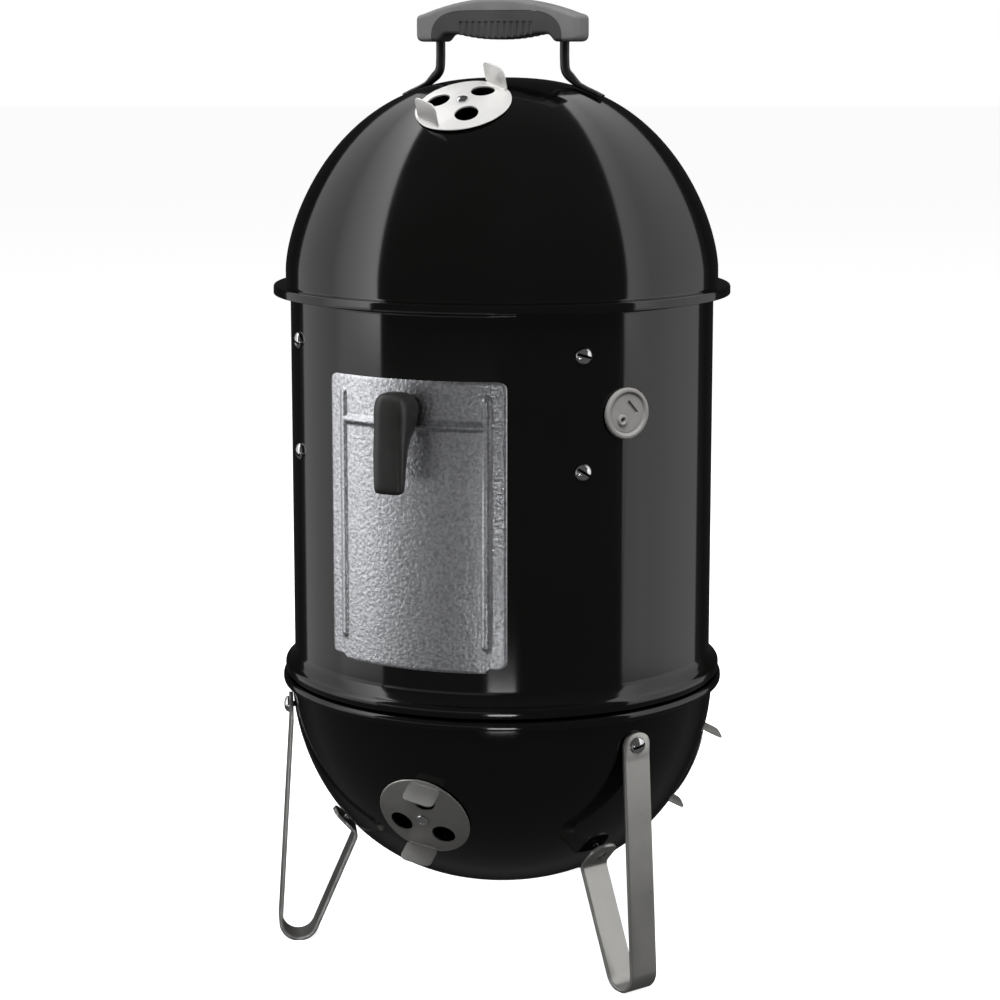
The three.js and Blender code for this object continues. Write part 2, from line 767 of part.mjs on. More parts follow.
// Bowl: a deep dish whose rolled rim carries the centre section, with three vents between the legs.
function addBowl() {
  const { radius, rimLineZ, beadRadius, beadTopZ } = bowl;
  const inner = radius - SHEET;
  const roll = 3.2;
  const profile = [
    ...domeProfile(bowl, 0, rimLineZ, -1).reverse(),
    [beadRadius - roll, beadTopZ - 2 * roll],
    [beadRadius - 0.9, beadTopZ - 1.7 * roll],
    [beadRadius, beadTopZ - roll],
    [beadRadius - 0.9, beadTopZ - 0.3 * roll],
    [beadRadius - roll, beadTopZ],
    [radius + 0.6, beadTopZ - 0.6],
    [inner + 0.4, beadTopZ - 3],
    ...domeProfile(bowl, SHEET, rimLineZ, -1),
  ];
  let shell = solidOf(lathe(profile, SHELL_SIDES));
  for (const [side, azimuth] of Object.entries(bowlDamper.azimuths)) {
    const place = bowlSeat(azimuth, bowlDamper.r, bowlDamper.spins[side]);
    shell = cutVent(shell, place);
    addDamper(`bowl_damper_${side}`, place);
  }
  const boltHole = post(screw.shankRadius + GAP, -12, 12, 8);
  const boltHoles = Object.values(leg.azimuths).flatMap((azimuth) => [
    solidOf(boltHole, wallSeat(azimuth, radius, leg.upperBoltZ)),
    solidOf(boltHole, bowlSeat(azimuth, leg.lowerBoltRadius)),
  ]);
  addPiece("bowl_shell", geometryOf(shell.subtract(Manifold.union(boltHoles))), "enamel");
}

// Centre line of a leg: down the outside, round the foot, back up under the bowl and flat against it.
function legLine() {
  const half = leg.thickness / 2;
  const lean = domeLean(bowl, leg.lowerBoltRadius);
  const along = [Math.cos(lean), Math.sin(lean)];
  const offset = half + 1;
  const boltZ = bowl.rimLineZ - domeRise(bowl, leg.lowerBoltRadius);
  const tabMiddle = [leg.lowerBoltRadius + offset * along[1], boltZ - offset * along[0]];
  const tab = (s) => [tabMiddle[0] + s * along[0], tabMiddle[1] + s * along[1]];
  const bendRadius = leg.footBend - half;
  const footX = leg.footRadius - leg.footBend;
  const footZ = leg.footBend - 0.6;
  return [
    [leg.topRadius - half, leg.topZ],
    [leg.topRadius - half, leg.kneeZ],
    ...arcPoints(footX, footZ, bendRadius, 0.06, -Math.PI * 0.86, 9),
    tab(-leg.tabReach - 1.5),
    tab(leg.tabReach),
  ];
}

// Legs: one bent strap each, bolted twice to the bowl.
function addLegs() {
  const blank = solidOf(bentStrip(legLine(), leg.thickness, leg.width));
  const belowFloor = new THREE.BoxGeometry(100, 100, 20).translate(0, -leg.footRadius, -10);
  const upperSeat = (azimuth) => wallSeat(azimuth, leg.topRadius + GAP, leg.upperBoltZ);
  const under = leg.thickness + 1 + GAP;
  const lowerSeat = (azimuth) =>
    bowlSeat(azimuth, leg.lowerBoltRadius).multiply(new THREE.Matrix4().makeTranslation(0, 0, under));
  const boltHole = post(screw.shankRadius + GAP, -12, 12, 8);
  const cuts = Manifold.union([
    solidOf(belowFloor),
    solidOf(boltHole, upperSeat(0)),
    solidOf(boltHole, lowerSeat(0)),
  ]);
  const geometry = geometryOf(blank.subtract(cuts));
  const upperGrip = leg.topRadius - bowl.radius + SHEET + 4.5;
  const lowerGrip = under + SHEET + 2;
  for (const [side, azimuth] of Object.entries(leg.azimuths)) {
    addPiece(`leg_${side}`, geometry, "aluminium", new THREE.Matrix4().makeRotationZ(azimuth));
    const bolts = { upper: [upperSeat(azimuth), upperGrip], lower: [lowerSeat(azimuth), lowerGrip] };
    for (const [level, [place, depth]] of Object.entries(bolts)) {
      const nutPlace = place.clone().multiply(new THREE.Matrix4().makeTranslation(0, 0, -depth));
      addPiece(`leg_${side}_screw_${level}`, roundHeadScrew(depth + nut.height + 1), "plated", place);
      addPiece(`leg_${side}_nut_${level}`, hexNut(), "plated", nutPlace);
    }
  }
}

// The fire: a wire grate that rests in the bowl and a perforated ring that holds the charcoal on it.
function addFireParts() {
  const wireRadius = 2.6;
  const grateRadius = 132;
  const grateZ = 118;
  const ringZ = grateZ + wireRadius + GAP;
  addPiece("charcoal_grate", wireGrate(grateRadius, wireRadius, 31).translate(0, 0, grateZ), "steel");
  const { radius, thickness, height } = ring;
  const wall = ringLathe(
    [
      [radius - thickness, ringZ],
      [radius, ringZ],
      [radius, ringZ + height],
      [radius - thickness, ringZ + height],
    ],
    24,
  );
  const holesRound = 10;
  const rows = [0.3, 0.7];
  const holes = [];
  rows.forEach((share, row) => {
    for (let i = 0; i < holesRound; i++) {
      const azimuth = ((i + row / 2) * 2 * Math.PI) / holesRound;
      holes.push(solidOf(post(11, 100, 150, 6), wallSeat(azimuth, 0, ringZ + share * height)));
    }
  });
  addPiece("charcoal_ring", geometryOf(solidOf(wall).subtract(Manifold.union(holes))), "steel");
}

addBowl();
addLegs();
addFireParts();
addCentre();
addGrateStraps();
addGrommet();
addDoor();
addDoorHandle();
addCookingGrates();
addLid();
addLidHandle();

// The origin is under the middle of the whole smoker's box, door handle included.
const box = new THREE.Box3().setFromObject(smoker, true);
const middle = box.getCenter(new THREE.Vector3());
smoker.children.forEach((piece) => piece.position.sub(new THREE.Vector3(middle.x, middle.y, 0)));

export default smoker;
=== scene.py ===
import json
import math
import bpy
import bmesh
from mathutils import Matrix, Vector, noise


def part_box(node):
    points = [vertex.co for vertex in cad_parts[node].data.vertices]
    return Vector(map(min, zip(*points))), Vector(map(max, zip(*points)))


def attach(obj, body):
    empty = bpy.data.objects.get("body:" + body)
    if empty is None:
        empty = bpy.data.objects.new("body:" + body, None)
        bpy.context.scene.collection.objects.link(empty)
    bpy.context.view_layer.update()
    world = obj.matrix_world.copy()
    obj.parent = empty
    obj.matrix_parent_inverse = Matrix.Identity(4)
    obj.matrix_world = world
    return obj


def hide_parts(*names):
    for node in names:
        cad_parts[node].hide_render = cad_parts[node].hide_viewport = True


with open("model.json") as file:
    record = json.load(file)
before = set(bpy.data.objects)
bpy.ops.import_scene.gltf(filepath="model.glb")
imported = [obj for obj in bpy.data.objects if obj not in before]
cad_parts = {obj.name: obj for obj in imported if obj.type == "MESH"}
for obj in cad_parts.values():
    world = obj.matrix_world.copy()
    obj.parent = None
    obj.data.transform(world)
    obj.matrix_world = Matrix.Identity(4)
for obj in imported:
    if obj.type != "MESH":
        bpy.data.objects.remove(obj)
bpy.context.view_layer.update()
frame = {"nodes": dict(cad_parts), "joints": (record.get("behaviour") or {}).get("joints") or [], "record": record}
scene = bpy.context.scene
mm = 0.001
third = 2 * math.pi / 3

# the smoker's own upright axis
lidLow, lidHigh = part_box("lid_shell")
axis = Vector(((lidLow.x + lidHigh.x) / 2, (lidLow.y + lidHigh.y) / 2, 0))
sheetThickness = 1.2
joints = {joint["name"]: joint for joint in frame["joints"]}
mounts = {mount["name"]: mount for mount in frame["record"]["mounts"]}


def azimuthOf(point):
    # from -Y towards +X about the smoker's axis
    return math.atan2(point[0] - axis.x, axis.y - point[1])


def middleOf(node):
    low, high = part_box(node)
    return (low + high) / 2


def roundSize(node):
    # a round part's bottom, top and radius in millimetres
    low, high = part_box(node)
    return low.z / mm, high.z / mm, (high.x - low.x) / 2 / mm


def linear(hexColour):
    channels = [int(hexColour[i:i + 2], 16) / 255 for i in (1, 3, 5)]
    return [c / 12.92 if c < 0.04045 else ((c + 0.055) / 1.055) ** 2.4 for c in channels] + [1]


def addNode(tree, kind, settings=None, links=None):
    node = tree.nodes.new(kind)
    for key, value in (settings or {}).items():
        if isinstance(key, int) or key in node.inputs:
            node.inputs[key].default_value = value
        else:
            setattr(node, key, value)
    for socket, source in (links or {}).items():
        tree.links.new(source, node.inputs[socket])
    return node


def newMaterial(name):
    material = bpy.data.materials.new(name)
    material.use_nodes = True
    tree = material.node_tree
    tree.nodes.clear()
    return material, tree, addNode(tree, "ShaderNodeTexCoord").outputs["Object"]


def patternOf(tree, coordinates, size, detail=3, stretch=(1, 1, 1)):
    # noise whose blotches are about this many millimetres across
    turned = addNode(tree, "ShaderNodeMapping", {"Scale": stretch}, {"Vector": coordinates})
    settings = {"Scale": 1 / (2 * size * mm), "Detail": detail}
    return addNode(tree, "ShaderNodeTexNoise", settings, {"Vector": turned.outputs[0]}).outputs["Fac"]


def spread(tree, source, low, high, start=0.3, end=0.7):
    settings = {"From Min": start, "From Max": end, "To Min": low, "To Max": high}
    return addNode(tree, "ShaderNodeMapRange", settings, {"Value": source}).outputs[0]


def shades(tree, source, colours):
    ramp = addNode(tree, "ShaderNodeValToRGB", {}, {"Fac": source})
    stops = ramp.color_ramp.elements
    for stop, (place, colour) in zip(stops, colours[:2]):
        stop.position = place
        stop.color = linear(colour)
    for place, colour in colours[2:]:
        stops.new(place).color = linear(colour)
    return ramp.outputs["Color"]


def bumped(tree, height, depth, below=None):
    # the depth is in millimetres, which Blender takes as metres of height
    links = {"Height": height}
    if below is not None:
        links["Normal"] = below
    return addNode(tree, "ShaderNodeBump", {"Strength": 1, "Distance": depth * mm}, links).outputs[0]


def finishMaterial(tree, settings, links):
    shader = addNode(tree, "ShaderNodeBsdfPrincipled", settings, links)
    addNode(tree, "ShaderNodeOutputMaterial", {}, {"Surface": shader.outputs[0]})


def makeEnamel():
    # porcelain enamel: black glass fused on steel, almost flat, with a faint long ripple and fine dust
    look = {
        "dark": "#040403", "light": "#070606", "patch": 60, "ripple": 14, "rippleDepth": 0.012, "dust": 0.35,
        "roughness": (0.07, 0.1), "dustRoughness": (0, 0.04), "dustCover": (0.6, 0.75),
    }
    material, tree, place = newMaterial("porcelainEnamel")
    patch = patternOf(tree, place, look["patch"])
    dust = patternOf(tree, place, look["dust"], 2)
    ripple = bumped(tree, patternOf(tree, place, look["ripple"], 1), look["rippleDepth"])
    colour = shades(tree, patch, [(0.35, look["dark"]), (0.65, look["light"])])
    rough = addNode(tree, "ShaderNodeMath", {"operation": "ADD"}, {
        0: spread(tree, patch, *look["roughness"]),
        1: spread(tree, dust, *look["dustRoughness"], *look["dustCover"]),
    })
    finishMaterial(tree, {"Specular IOR Level": 0.5}, {
        "Base Color": colour, "Roughness": rough.outputs[0], "Normal": ripple,
    })
    return material


def makeSheetAluminium(name, look):
    # rolled sheet: even silver-grey, the mill's fine lines one way, and a few soft smudges
    material, tree, place = newMaterial(name)
    patch = patternOf(tree, place, look["patch"])
    lines = patternOf(tree, place, look["line"], 4, look["rolling"])
    colour = shades(tree, patch, [(0.3, look["dark"]), (0.7, look["light"])])
    rough = addNode(tree, "ShaderNodeMath", {"operation": "ADD"}, {
        0: spread(tree, patch, *look["roughness"]),
        1: spread(tree, lines, -0.04, 0.04),
    })
    relief = bumped(tree, lines, look["lineDepth"])
    finishMaterial(tree, {"Metallic": look["metallic"]}, {
        "Base Color": colour, "Roughness": rough.outputs[0], "Normal": relief,
    })
    return material


def makeStucco():
    # stucco-embossed aluminium: the mill's crumpled roller pattern, on top of the relief in the mesh
    look = {
        "dark": "#b2b3b7", "light": "#dcdde1", "patch": 40, "roughness": (0.33, 0.4),
        "grain": 1.3, "grainDepth": 0.42, "speck": 0.5, "speckDepth": 0.06,
    }
    material, tree, place = newMaterial("stuccoAluminium")
    grain = patternOf(tree, place, look["grain"], 2)
    speck = patternOf(tree, place, look["speck"], 2)
    patch = patternOf(tree, place, look["patch"])
    colour = shades(tree, grain, [(0.3, look["dark"]), (0.62, look["light"])])
    relief = bumped(tree, speck, look["speckDepth"], bumped(tree, grain, look["grainDepth"]))
    finishMaterial(tree, {"Metallic": 1}, {
        "Base Color": colour, "Roughness": spread(tree, patch, *look["roughness"]), "Normal": relief,
    })
    return material


# the dark colour painted into screw slots, as the shade deep in a slot
slotShadeColour = "#1d1c1b"


def makeMetal(name, look):
    # plated or plain steel: a bright skin, dulled in small clouds, with fine marks from drawing or tumbling,
    # and painted shade in the screw slots, whose faces carry an attribute that turns them a dark colour
    material, tree, place = newMaterial(name)
    patch = patternOf(tree, place, look["patch"])
    marks = patternOf(tree, place, look["mark"], 3)
    clean = shades(tree, patch, [(0.3, look["dark"]), (0.7, look["light"])])
    # painted shade: the marked slot faces take the dark colour in place of the metal's own
    slotShade = addNode(tree, "ShaderNodeAttribute", {"attribute_name": "slotShade"}).outputs["Fac"]
    # a colour Mix node's sockets are 0 factor, 6 first colour and 7 second, and its result is output 2
    settings = {"data_type": "RGBA", 7: linear(slotShadeColour)}
    colour = addNode(tree, "ShaderNodeMix", settings, {0: slotShade, 6: clean}).outputs[2]
    finishMaterial(tree, {"Metallic": 1}, {
        "Base Color": colour,
        "Roughness": spread(tree, marks, *look["roughness"]),
        "Normal": bumped(tree, marks, look["markDepth"]),
    })
    return material


def makePlastic(name, look):
    # moulded plastic, paint or rubber: a fine spark-eroded grain that scatters the gloss
    material, tree, place = newMaterial(name)
    patch = patternOf(tree, place, look["patch"])
    grain = patternOf(tree, place, look["grain"], 2)
    colour = shades(tree, patch, [(0.3, look["dark"]), (0.7, look["light"])])
    settings = {"Specular IOR Level": look.get("gloss", 0.5)}
    finishMaterial(tree, settings, {
        "Base Color": colour,
        "Roughness": spread(tree, grain, *look["roughness"]),
        "Normal": bumped(tree, grain, look["grainDepth"]),
    })
    return material


enamel = makeEnamel()
damperSheet = makeSheetAluminium("satinAluminium", {
    "dark": "#e3e2e0", "light": "#eeedeb", "patch": 18, "line": 0.5, "rolling": (1, 0.04, 1),
    "lineDepth": 0.012, "roughness": (0.42, 0.5), "metallic": 0.5,
})
# painted shade: a darker copy of the damper sheet for the bowl's dampers, which face down, away from the light
shadedDamperSheet = makeSheetAluminium("shadedDamperAluminium", {
    "dark": "#b3b2af", "light": "#c1c0bd", "patch": 14, "line": 0.5, "rolling": (1, 0.04, 1),
    "lineDepth": 0.012, "roughness": (0.42, 0.5), "metallic": 0.85,
})
legStrap = makeSheetAluminium("legAluminium", {
    "dark": "#a7a6a3", "light": "#b9b8b5", "patch": 22, "line": 0.5, "rolling": (1, 1, 0.03),
    "lineDepth": 0.015, "roughness": (0.3, 0.38), "metallic": 0.85,
})
stucco = makeStucco()
plated = makeMetal("zincPlate", {
    "dark": "#c9cacb", "light": "#dcdddd", "patch": 5,
    "mark": 0.8, "markDepth": 0.01, "roughness": (0.12, 0.2),
})
wirePlate = makeMetal("chromeWire", {
    "dark": "#b9b9b8", "light": "#cfcfce", "patch": 20,
    "mark": 1.2, "markDepth": 0.02, "roughness": (0.16, 0.26),
})
millSteel = makeMetal("millSteel", {
    "dark": "#77756f", "light": "#949288", "patch": 12,
    "mark": 0.9, "markDepth": 0.03, "roughness": (0.38, 0.5),
})
blackPaint = makePlastic("blackPaint", {
    "dark": "#0d0d0d", "light": "#141414", "patch": 15,
    "grain": 0.6, "grainDepth": 0.02, "roughness": (0.32, 0.42),
})
greyGrip = makePlastic("greyNylon", {
    "dark": "#6a6a6a", "light": "#727272", "patch": 9,
    "grain": 0.35, "grainDepth": 0.03, "roughness": (0.5, 0.62),
})
darkGrip = makePlastic("darkNylon", {
    "dark": "#3c3c3c", "light": "#444444", "patch": 9,
    "grain": 0.4, "grainDepth": 0.04, "roughness": (0.55, 0.68),
})
blackNylon = makePlastic("blackNylon", {
    "dark": "#212120", "light": "#2a2a29", "patch": 12,
    "grain": 0.3, "grainDepth": 0.015, "roughness": (0.32, 0.4),
})
silicone = makePlastic("siliconeRubber", {
    "dark": "#908e8c", "light": "#9a9896", "patch": 8,
    "grain": 0.25, "grainDepth": 0.01, "roughness": (0.5, 0.6), "gloss": 0.4,
})
print("materials made")


def filleted(points, closed=False, steps=5):
    # points of (x, y, corner radius) as a line whose corners are rounded
    line = []
    for i, (x, y, radius) in enumerate(points):
        here = Vector((x, y))
        if radius == 0 or (not closed and i in (0, len(points) - 1)):
            line.append((x, y))
            continue
        back = Vector(points[i - 1][:2]) - here
        on = Vector(points[(i + 1) % len(points)][:2]) - here
        half = back.angle(on) / 2
        reach = min(radius / math.tan(half), 0.49 * back.length, 0.49 * on.length)
        start = here + back.normalized() * reach
        end = here + on.normalized() * reach
        for k in range(steps + 1):
            t = k / steps
            line.append(tuple(start * (1 - t) ** 2 + here * 2 * t * (1 - t) + end * t ** 2))
    return line


def held(line):
    # points near the ends of the long straight stretches keep the shading true along them
    whole, margin = [line[0]], 1.5
    for (r, z), (nextR, nextZ) in zip(line, line[1:]):
        length = math.hypot(nextR - r, nextZ - z)
        shares = (margin / length, 1 - margin / length) if length > 8 * margin else ()
        whole += [(r + (nextR - r) * share, z + (nextZ - z) * share) for share in shares]
        whole.append((nextR, nextZ))
    return whole


def turned(profile, steps, ring=False):
    # a line of (radius, height) in millimetres spun about Z
    bm = bmesh.new()
    verts = [bm.verts.new((r * mm, 0, z * mm)) for r, z in held(profile)]
    edges = [bm.edges.new(pair) for pair in zip(verts, verts[1:])]
    if ring:
        edges.append(bm.edges.new((verts[-1], verts[0])))
    bmesh.ops.spin(
        bm, geom=verts + edges, cent=(0, 0, 0), axis=(0, 0, 1),
        angle=2 * math.pi, steps=steps, use_merge=True,
    )
    bmesh.ops.remove_doubles(bm, verts=bm.verts, dist=1e-7)
    bmesh.ops.dissolve_degenerate(bm, edges=bm.edges, dist=1e-7)
    bmesh.ops.recalc_face_normals(bm, faces=bm.faces)
    return bm


def rod(radius, length, steps=24, middle=(0, 0, 0), turn=None):
    bm = bmesh.new()
    bmesh.ops.create_cone(
        bm, cap_ends=True, segments=steps, radius1=radius * mm, radius2=radius * mm, depth=length * mm
    )
    if turn:
        bmesh.ops.transform(bm, matrix=turn, verts=bm.verts)
    bmesh.ops.translate(bm, vec=Vector(middle) * mm, verts=bm.verts)
    return bm


def block(width, depth, height, middle=(0, 0, 0)):
    bm = bmesh.new()
    bmesh.ops.create_cube(bm, size=1)
    bmesh.ops.scale(bm, vec=Vector((width, depth, height)) * mm, verts=bm.verts)
    bmesh.ops.translate(bm, vec=Vector(middle) * mm, verts=bm.verts)
    return bm


def roundEdges(bm, edges, radius, steps=3):
    bmesh.ops.bevel(
        bm, geom=edges, offset=radius * mm, offset_type="OFFSET", segments=steps,
        profile=0.5, affect="EDGES", clamp_overlap=True, material=-1,
    )


def plate(outline, low, high):
    # an outline of (x, y) points in millimetres given a thickness between two heights
    bm = bmesh.new()
    face = bm.faces.new([bm.verts.new((x * mm, y * mm, low * mm)) for x, y in outline])
    face.normal_update()
    if face.normal.z > 0:
        face.normal_flip()
    top = bmesh.ops.extrude_face_region(bm, geom=[face])
    raised = [v for v in top["geom"] if isinstance(v, bmesh.types.BMVert)]
    bmesh.ops.translate(bm, vec=(0, 0, (high - low) * mm), verts=raised)
    bmesh.ops.recalc_face_normals(bm, faces=bm.faces)
    return bm


def rimEdges(bm):
    # the edges where a flat cap of many corners meets its four-cornered sides
    return [e for e in bm.edges if sorted(len(f.verts) > 4 for f in e.link_faces) == [False, True]]


def merged(*parts):
    # several meshes as one, which may lie in each other
    whole = bmesh.new()
    for part in parts:
        spare = bpy.data.meshes.new("spare")
        part.to_mesh(spare)
        part.free()
        whole.from_mesh(spare)
        bpy.data.meshes.remove(spare)
    return whole


def spareObject(bm):
    spare = bpy.data.meshes.new("spare")
    bm.to_mesh(spare)
    bm.free()
    shown = bpy.data.objects.new("spare", spare)
    scene.collection.objects.link(shown)
    return shown


def combined(bm, other, operation="DIFFERENCE"):
    first, second = spareObject(bm), spareObject(other)
    cut = first.modifiers.new("cut", "BOOLEAN")
    cut.object = second
    cut.operation = operation
    cut.solver = "EXACT"
    graph = bpy.context.evaluated_depsgraph_get()
    result = bpy.data.meshes.new_from_object(first.evaluated_get(graph))
    made = bmesh.new()
    made.from_mesh(result)
    for spare in (first, second):
        spareMesh = spare.data
        bpy.data.objects.remove(spare)
        bpy.data.meshes.remove(spareMesh)
    bpy.data.meshes.remove(result)
    return made


def moved(bm, matrix):
    bmesh.ops.transform(bm, matrix=matrix, verts=bm.verts)
    return bm


def seat(azimuth, r, z, tilt, spin=0):
    # a piece's own Z points out of the smoker here, at a radius and height, leaning by the tilt from +Z
    return (
        Matrix.Rotation(azimuth, 4, "Z")
        @ Matrix.Translation((0, -r * mm, z * mm))
        @ Matrix.Rotation(tilt, 4, "X")
        @ Matrix.Rotation(spin, 4, "Z")
    )


def wallSeat(azimuth, r, z):
    return seat(azimuth, r, z, math.pi / 2)


def addPiece(bm, name, body, material, replaced, sharp=35):
    bmesh.ops.translate(bm, vec=axis, verts=bm.verts)
    mesh = bpy.data.meshes.new(name)
    bm.to_mesh(mesh)
    bm.free()
    mesh.shade_smooth()
    mesh.set_sharp_from_angle(angle=math.radians(sharp))
    mesh.materials.append(material)
    piece = bpy.data.objects.new(name, mesh)
    scene.collection.objects.link(piece)
    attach(piece, body)
    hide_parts(*replaced)
    return piece


# both domes are superellipses, widest at lineZ, that rise or hang from there to the pole
lidBottom, lidTop, flangeRadius = roundSize("lid_shell")
bowlBottom, bowlTop, bowlRadius = roundSize("bowl_shell")
centreBottom, centreTop, rollRadius = roundSize("centre_shell")
lid = {
    "radius": 177.7, "rise": 154.5, "sidePower": 2.48, "polePower": 1.58, "lineZ": lidTop - 154.5, "up": 1,
    "flangeRadius": flangeRadius, "lipZ": lidBottom, "flangeZ": lidBottom + 7.3,
}
bowl = {
    "radius": 176.6, "rise": 168.6, "sidePower": 2.395, "polePower": 1.859, "lineZ": bowlBottom + 168.6,
    "up": -1, "beadRadius": bowlRadius, "topZ": bowlTop, "roll": 3.2,
}
centre = {
    "radius": 174, "skirtRadius": 173.4, "skirtZ": centreBottom, "topZ": centreTop,
    "rollRadius": rollRadius, "beadRadius": 181.7, "beadZ": 236.8, "flareZ": 251,
}


def domeRise(dome, r):
    return dome["rise"] * (1 - (r / dome["radius"]) ** dome["sidePower"]) ** (1 / dome["polePower"])


def domeLean(dome, r):
    return math.atan2(domeRise(dome, r - 0.5) - domeRise(dome, r + 0.5), 1)


def domeZ(dome, r):
    return dome["lineZ"] + dome["up"] * domeRise(dome, r)


def domeLine(dome, inset):
    # from the widest line to the pole
    line, steps = [], 46
    for i in range(steps):
        t = i / steps * math.pi / 2
        r = (dome["radius"] - inset) * math.cos(t) ** (2 / dome["sidePower"])
        rise = (dome["rise"] - inset) * math.sin(t) ** (2 / dome["polePower"])
        line.append((r, dome["lineZ"] + dome["up"] * rise))
    return line + [(0, dome["lineZ"] + dome["up"] * (dome["rise"] - inset))]


def bowlSeat(azimuth, r):
    return seat(azimuth, r, domeZ(bowl, r), math.pi - domeLean(bowl, r))


damper = {
    "radius": 38.5, "thickness": 1.2, "dish": 152, "clearance": 1.4, "rows": 16, "bandHalf": 13,
    "holeRadius": 9.5, "holeCircle": 20.7, "rivetHole": 3.3, "cutDepth": 16,
    "tabHalf": 13, "tabHeight": 20.5, "tabLine": 34.6,
    "lidSpin": -0.576, "bowlSpins": {"front": -0.244, "right": 0.06, "back": -0.244},
}


def damperSeat(jointName, spin):
    joint = joints[jointName]
    place = Vector(joint["pos_m"])
    r = math.hypot(place.x - axis.x, place.y - axis.y) / mm
    return seat(azimuthOf(place), r, place.z / mm, math.acos(joint["axis"][2]), spin)


damperSeats = {"lid_damper": ("lid", damperSeat("lid_damper_turn", damper["lidSpin"]))}
for side, spin in damper["bowlSpins"].items():
    damperSeats[f"bowl_damper_{side}"] = ("bowl", damperSeat(f"bowl_damper_{side}_turn", spin))


def airHoles(depth):
    holes = []
    for i in range(3):
        turn = i * third
        middle = (-damper["holeCircle"] * math.sin(turn), damper["holeCircle"] * math.cos(turn), 0)
        holes.append(rod(damper["holeRadius"], depth, 48, middle))
    return merged(*holes)


def ventCutter(place):
    depth = damper["cutDepth"]
    return moved(merged(airHoles(depth), rod(damper["rivetHole"], depth)), place)


def makeLid():
    inner = lid["radius"] - sheetThickness
    under = lid["flangeZ"] - sheetThickness
    edge = lid["flangeRadius"]
    flange = filleted([
        (inner, lid["lineZ"] - 4, 0),
        (inner, under, 2),
        (edge - sheetThickness, under, 1.2),
        (edge - sheetThickness, lid["lipZ"], 0.5),
        (edge, lid["lipZ"], 0.5),
        (edge, lid["flangeZ"], 2.2),
        (lid["radius"], lid["flangeZ"], 2.4),
        (lid["radius"], lid["lineZ"] - 4, 0),
    ])
    bm = turned(domeLine(lid, sheetThickness)[::-1] + flange + domeLine(lid, 0), 200)
    bm = combined(bm, ventCutter(damperSeats["lid_damper"][1]))
    addPiece(bm, "lidDome", "lid", enamel, ["lid_shell"])


def makeBowl():
    inner = bowl["radius"] - sheetThickness
    top = bowl["topZ"]
    edge = bowl["beadRadius"]
    rim = filleted([
        (bowl["radius"], bowl["lineZ"] + 0.6, 0),
        (edge, top - 2.1 * bowl["roll"], 1.6),
        (edge, top, 3.1),
        (inner + 0.4, top, 3.1),
        (inner, bowl["lineZ"] + 0.6, 0),
    ], steps=8)
    bm = turned(domeLine(bowl, 0)[::-1] + rim + domeLine(bowl, sheetThickness), 200)
    cutters = [ventCutter(place) for shell, place in damperSeats.values() if shell == "bowl"]
    for azimuth in legAzimuths.values():
        cutters += legBoltHoles(azimuth, bowl["radius"])
    bm = combined(bm, merged(*cutters))
    addPiece(bm, "bowlShell", "bowl", enamel, ["bowl_shell"])


latch = joints["door_latch_turn"]
door = {
    "azimuth": math.atan2(latch["axis"][0], -latch["axis"][1]), "handleZ": latch["pos_m"][2] / mm,
    "halfWidth": 75.2, "bottomZ": 271.6, "topZ": 496, "corner": 7, "inner": 174.4, "thickness": 1.5,
    "openingCorner": 6, "openingCut": (120, 230), "overlap": 9, "spindleHole": 5,
    "lipDrop": 3, "lipHalf": 60, "shelfDepth": 12, "shelfMiddle": 169.2, "shelfRise": 3.75,
    "sideBeadX": 61.5, "sideBeadZ": (286.5, 484.5), "crossBeadZ": 461, "beadHalf": 3.2, "beadHeight": 1.9,
    "stuccoSize": 1.9, "stuccoDepth": 0.2, "stuccoOnBead": 0.3, "edgeDrop": 0.5,
    "mesh": 1.3, "beadMesh": 0.6, "beadLines": 6,
}
strap = {"screwHole": 2.7, "numbers": (1, 2, 3, 4), "levels": ("upper", "lower")}
grommetMiddle = middleOf("probe_grommet")
grommet = {
    "azimuth": azimuthOf(grommetMiddle), "z": grommetMiddle.z / mm, "radius": 20, "hole": 15, "neck": 14.5,
    "outside": 0.3, "inside": -sheetThickness - 2.2, "boss": (-4.8, -4.8), "probeHole": 1.5,
    "slot": (13, 2.7, 5), "slotPlace": (5.2, 4.7), "slotTurn": -0.84,
}


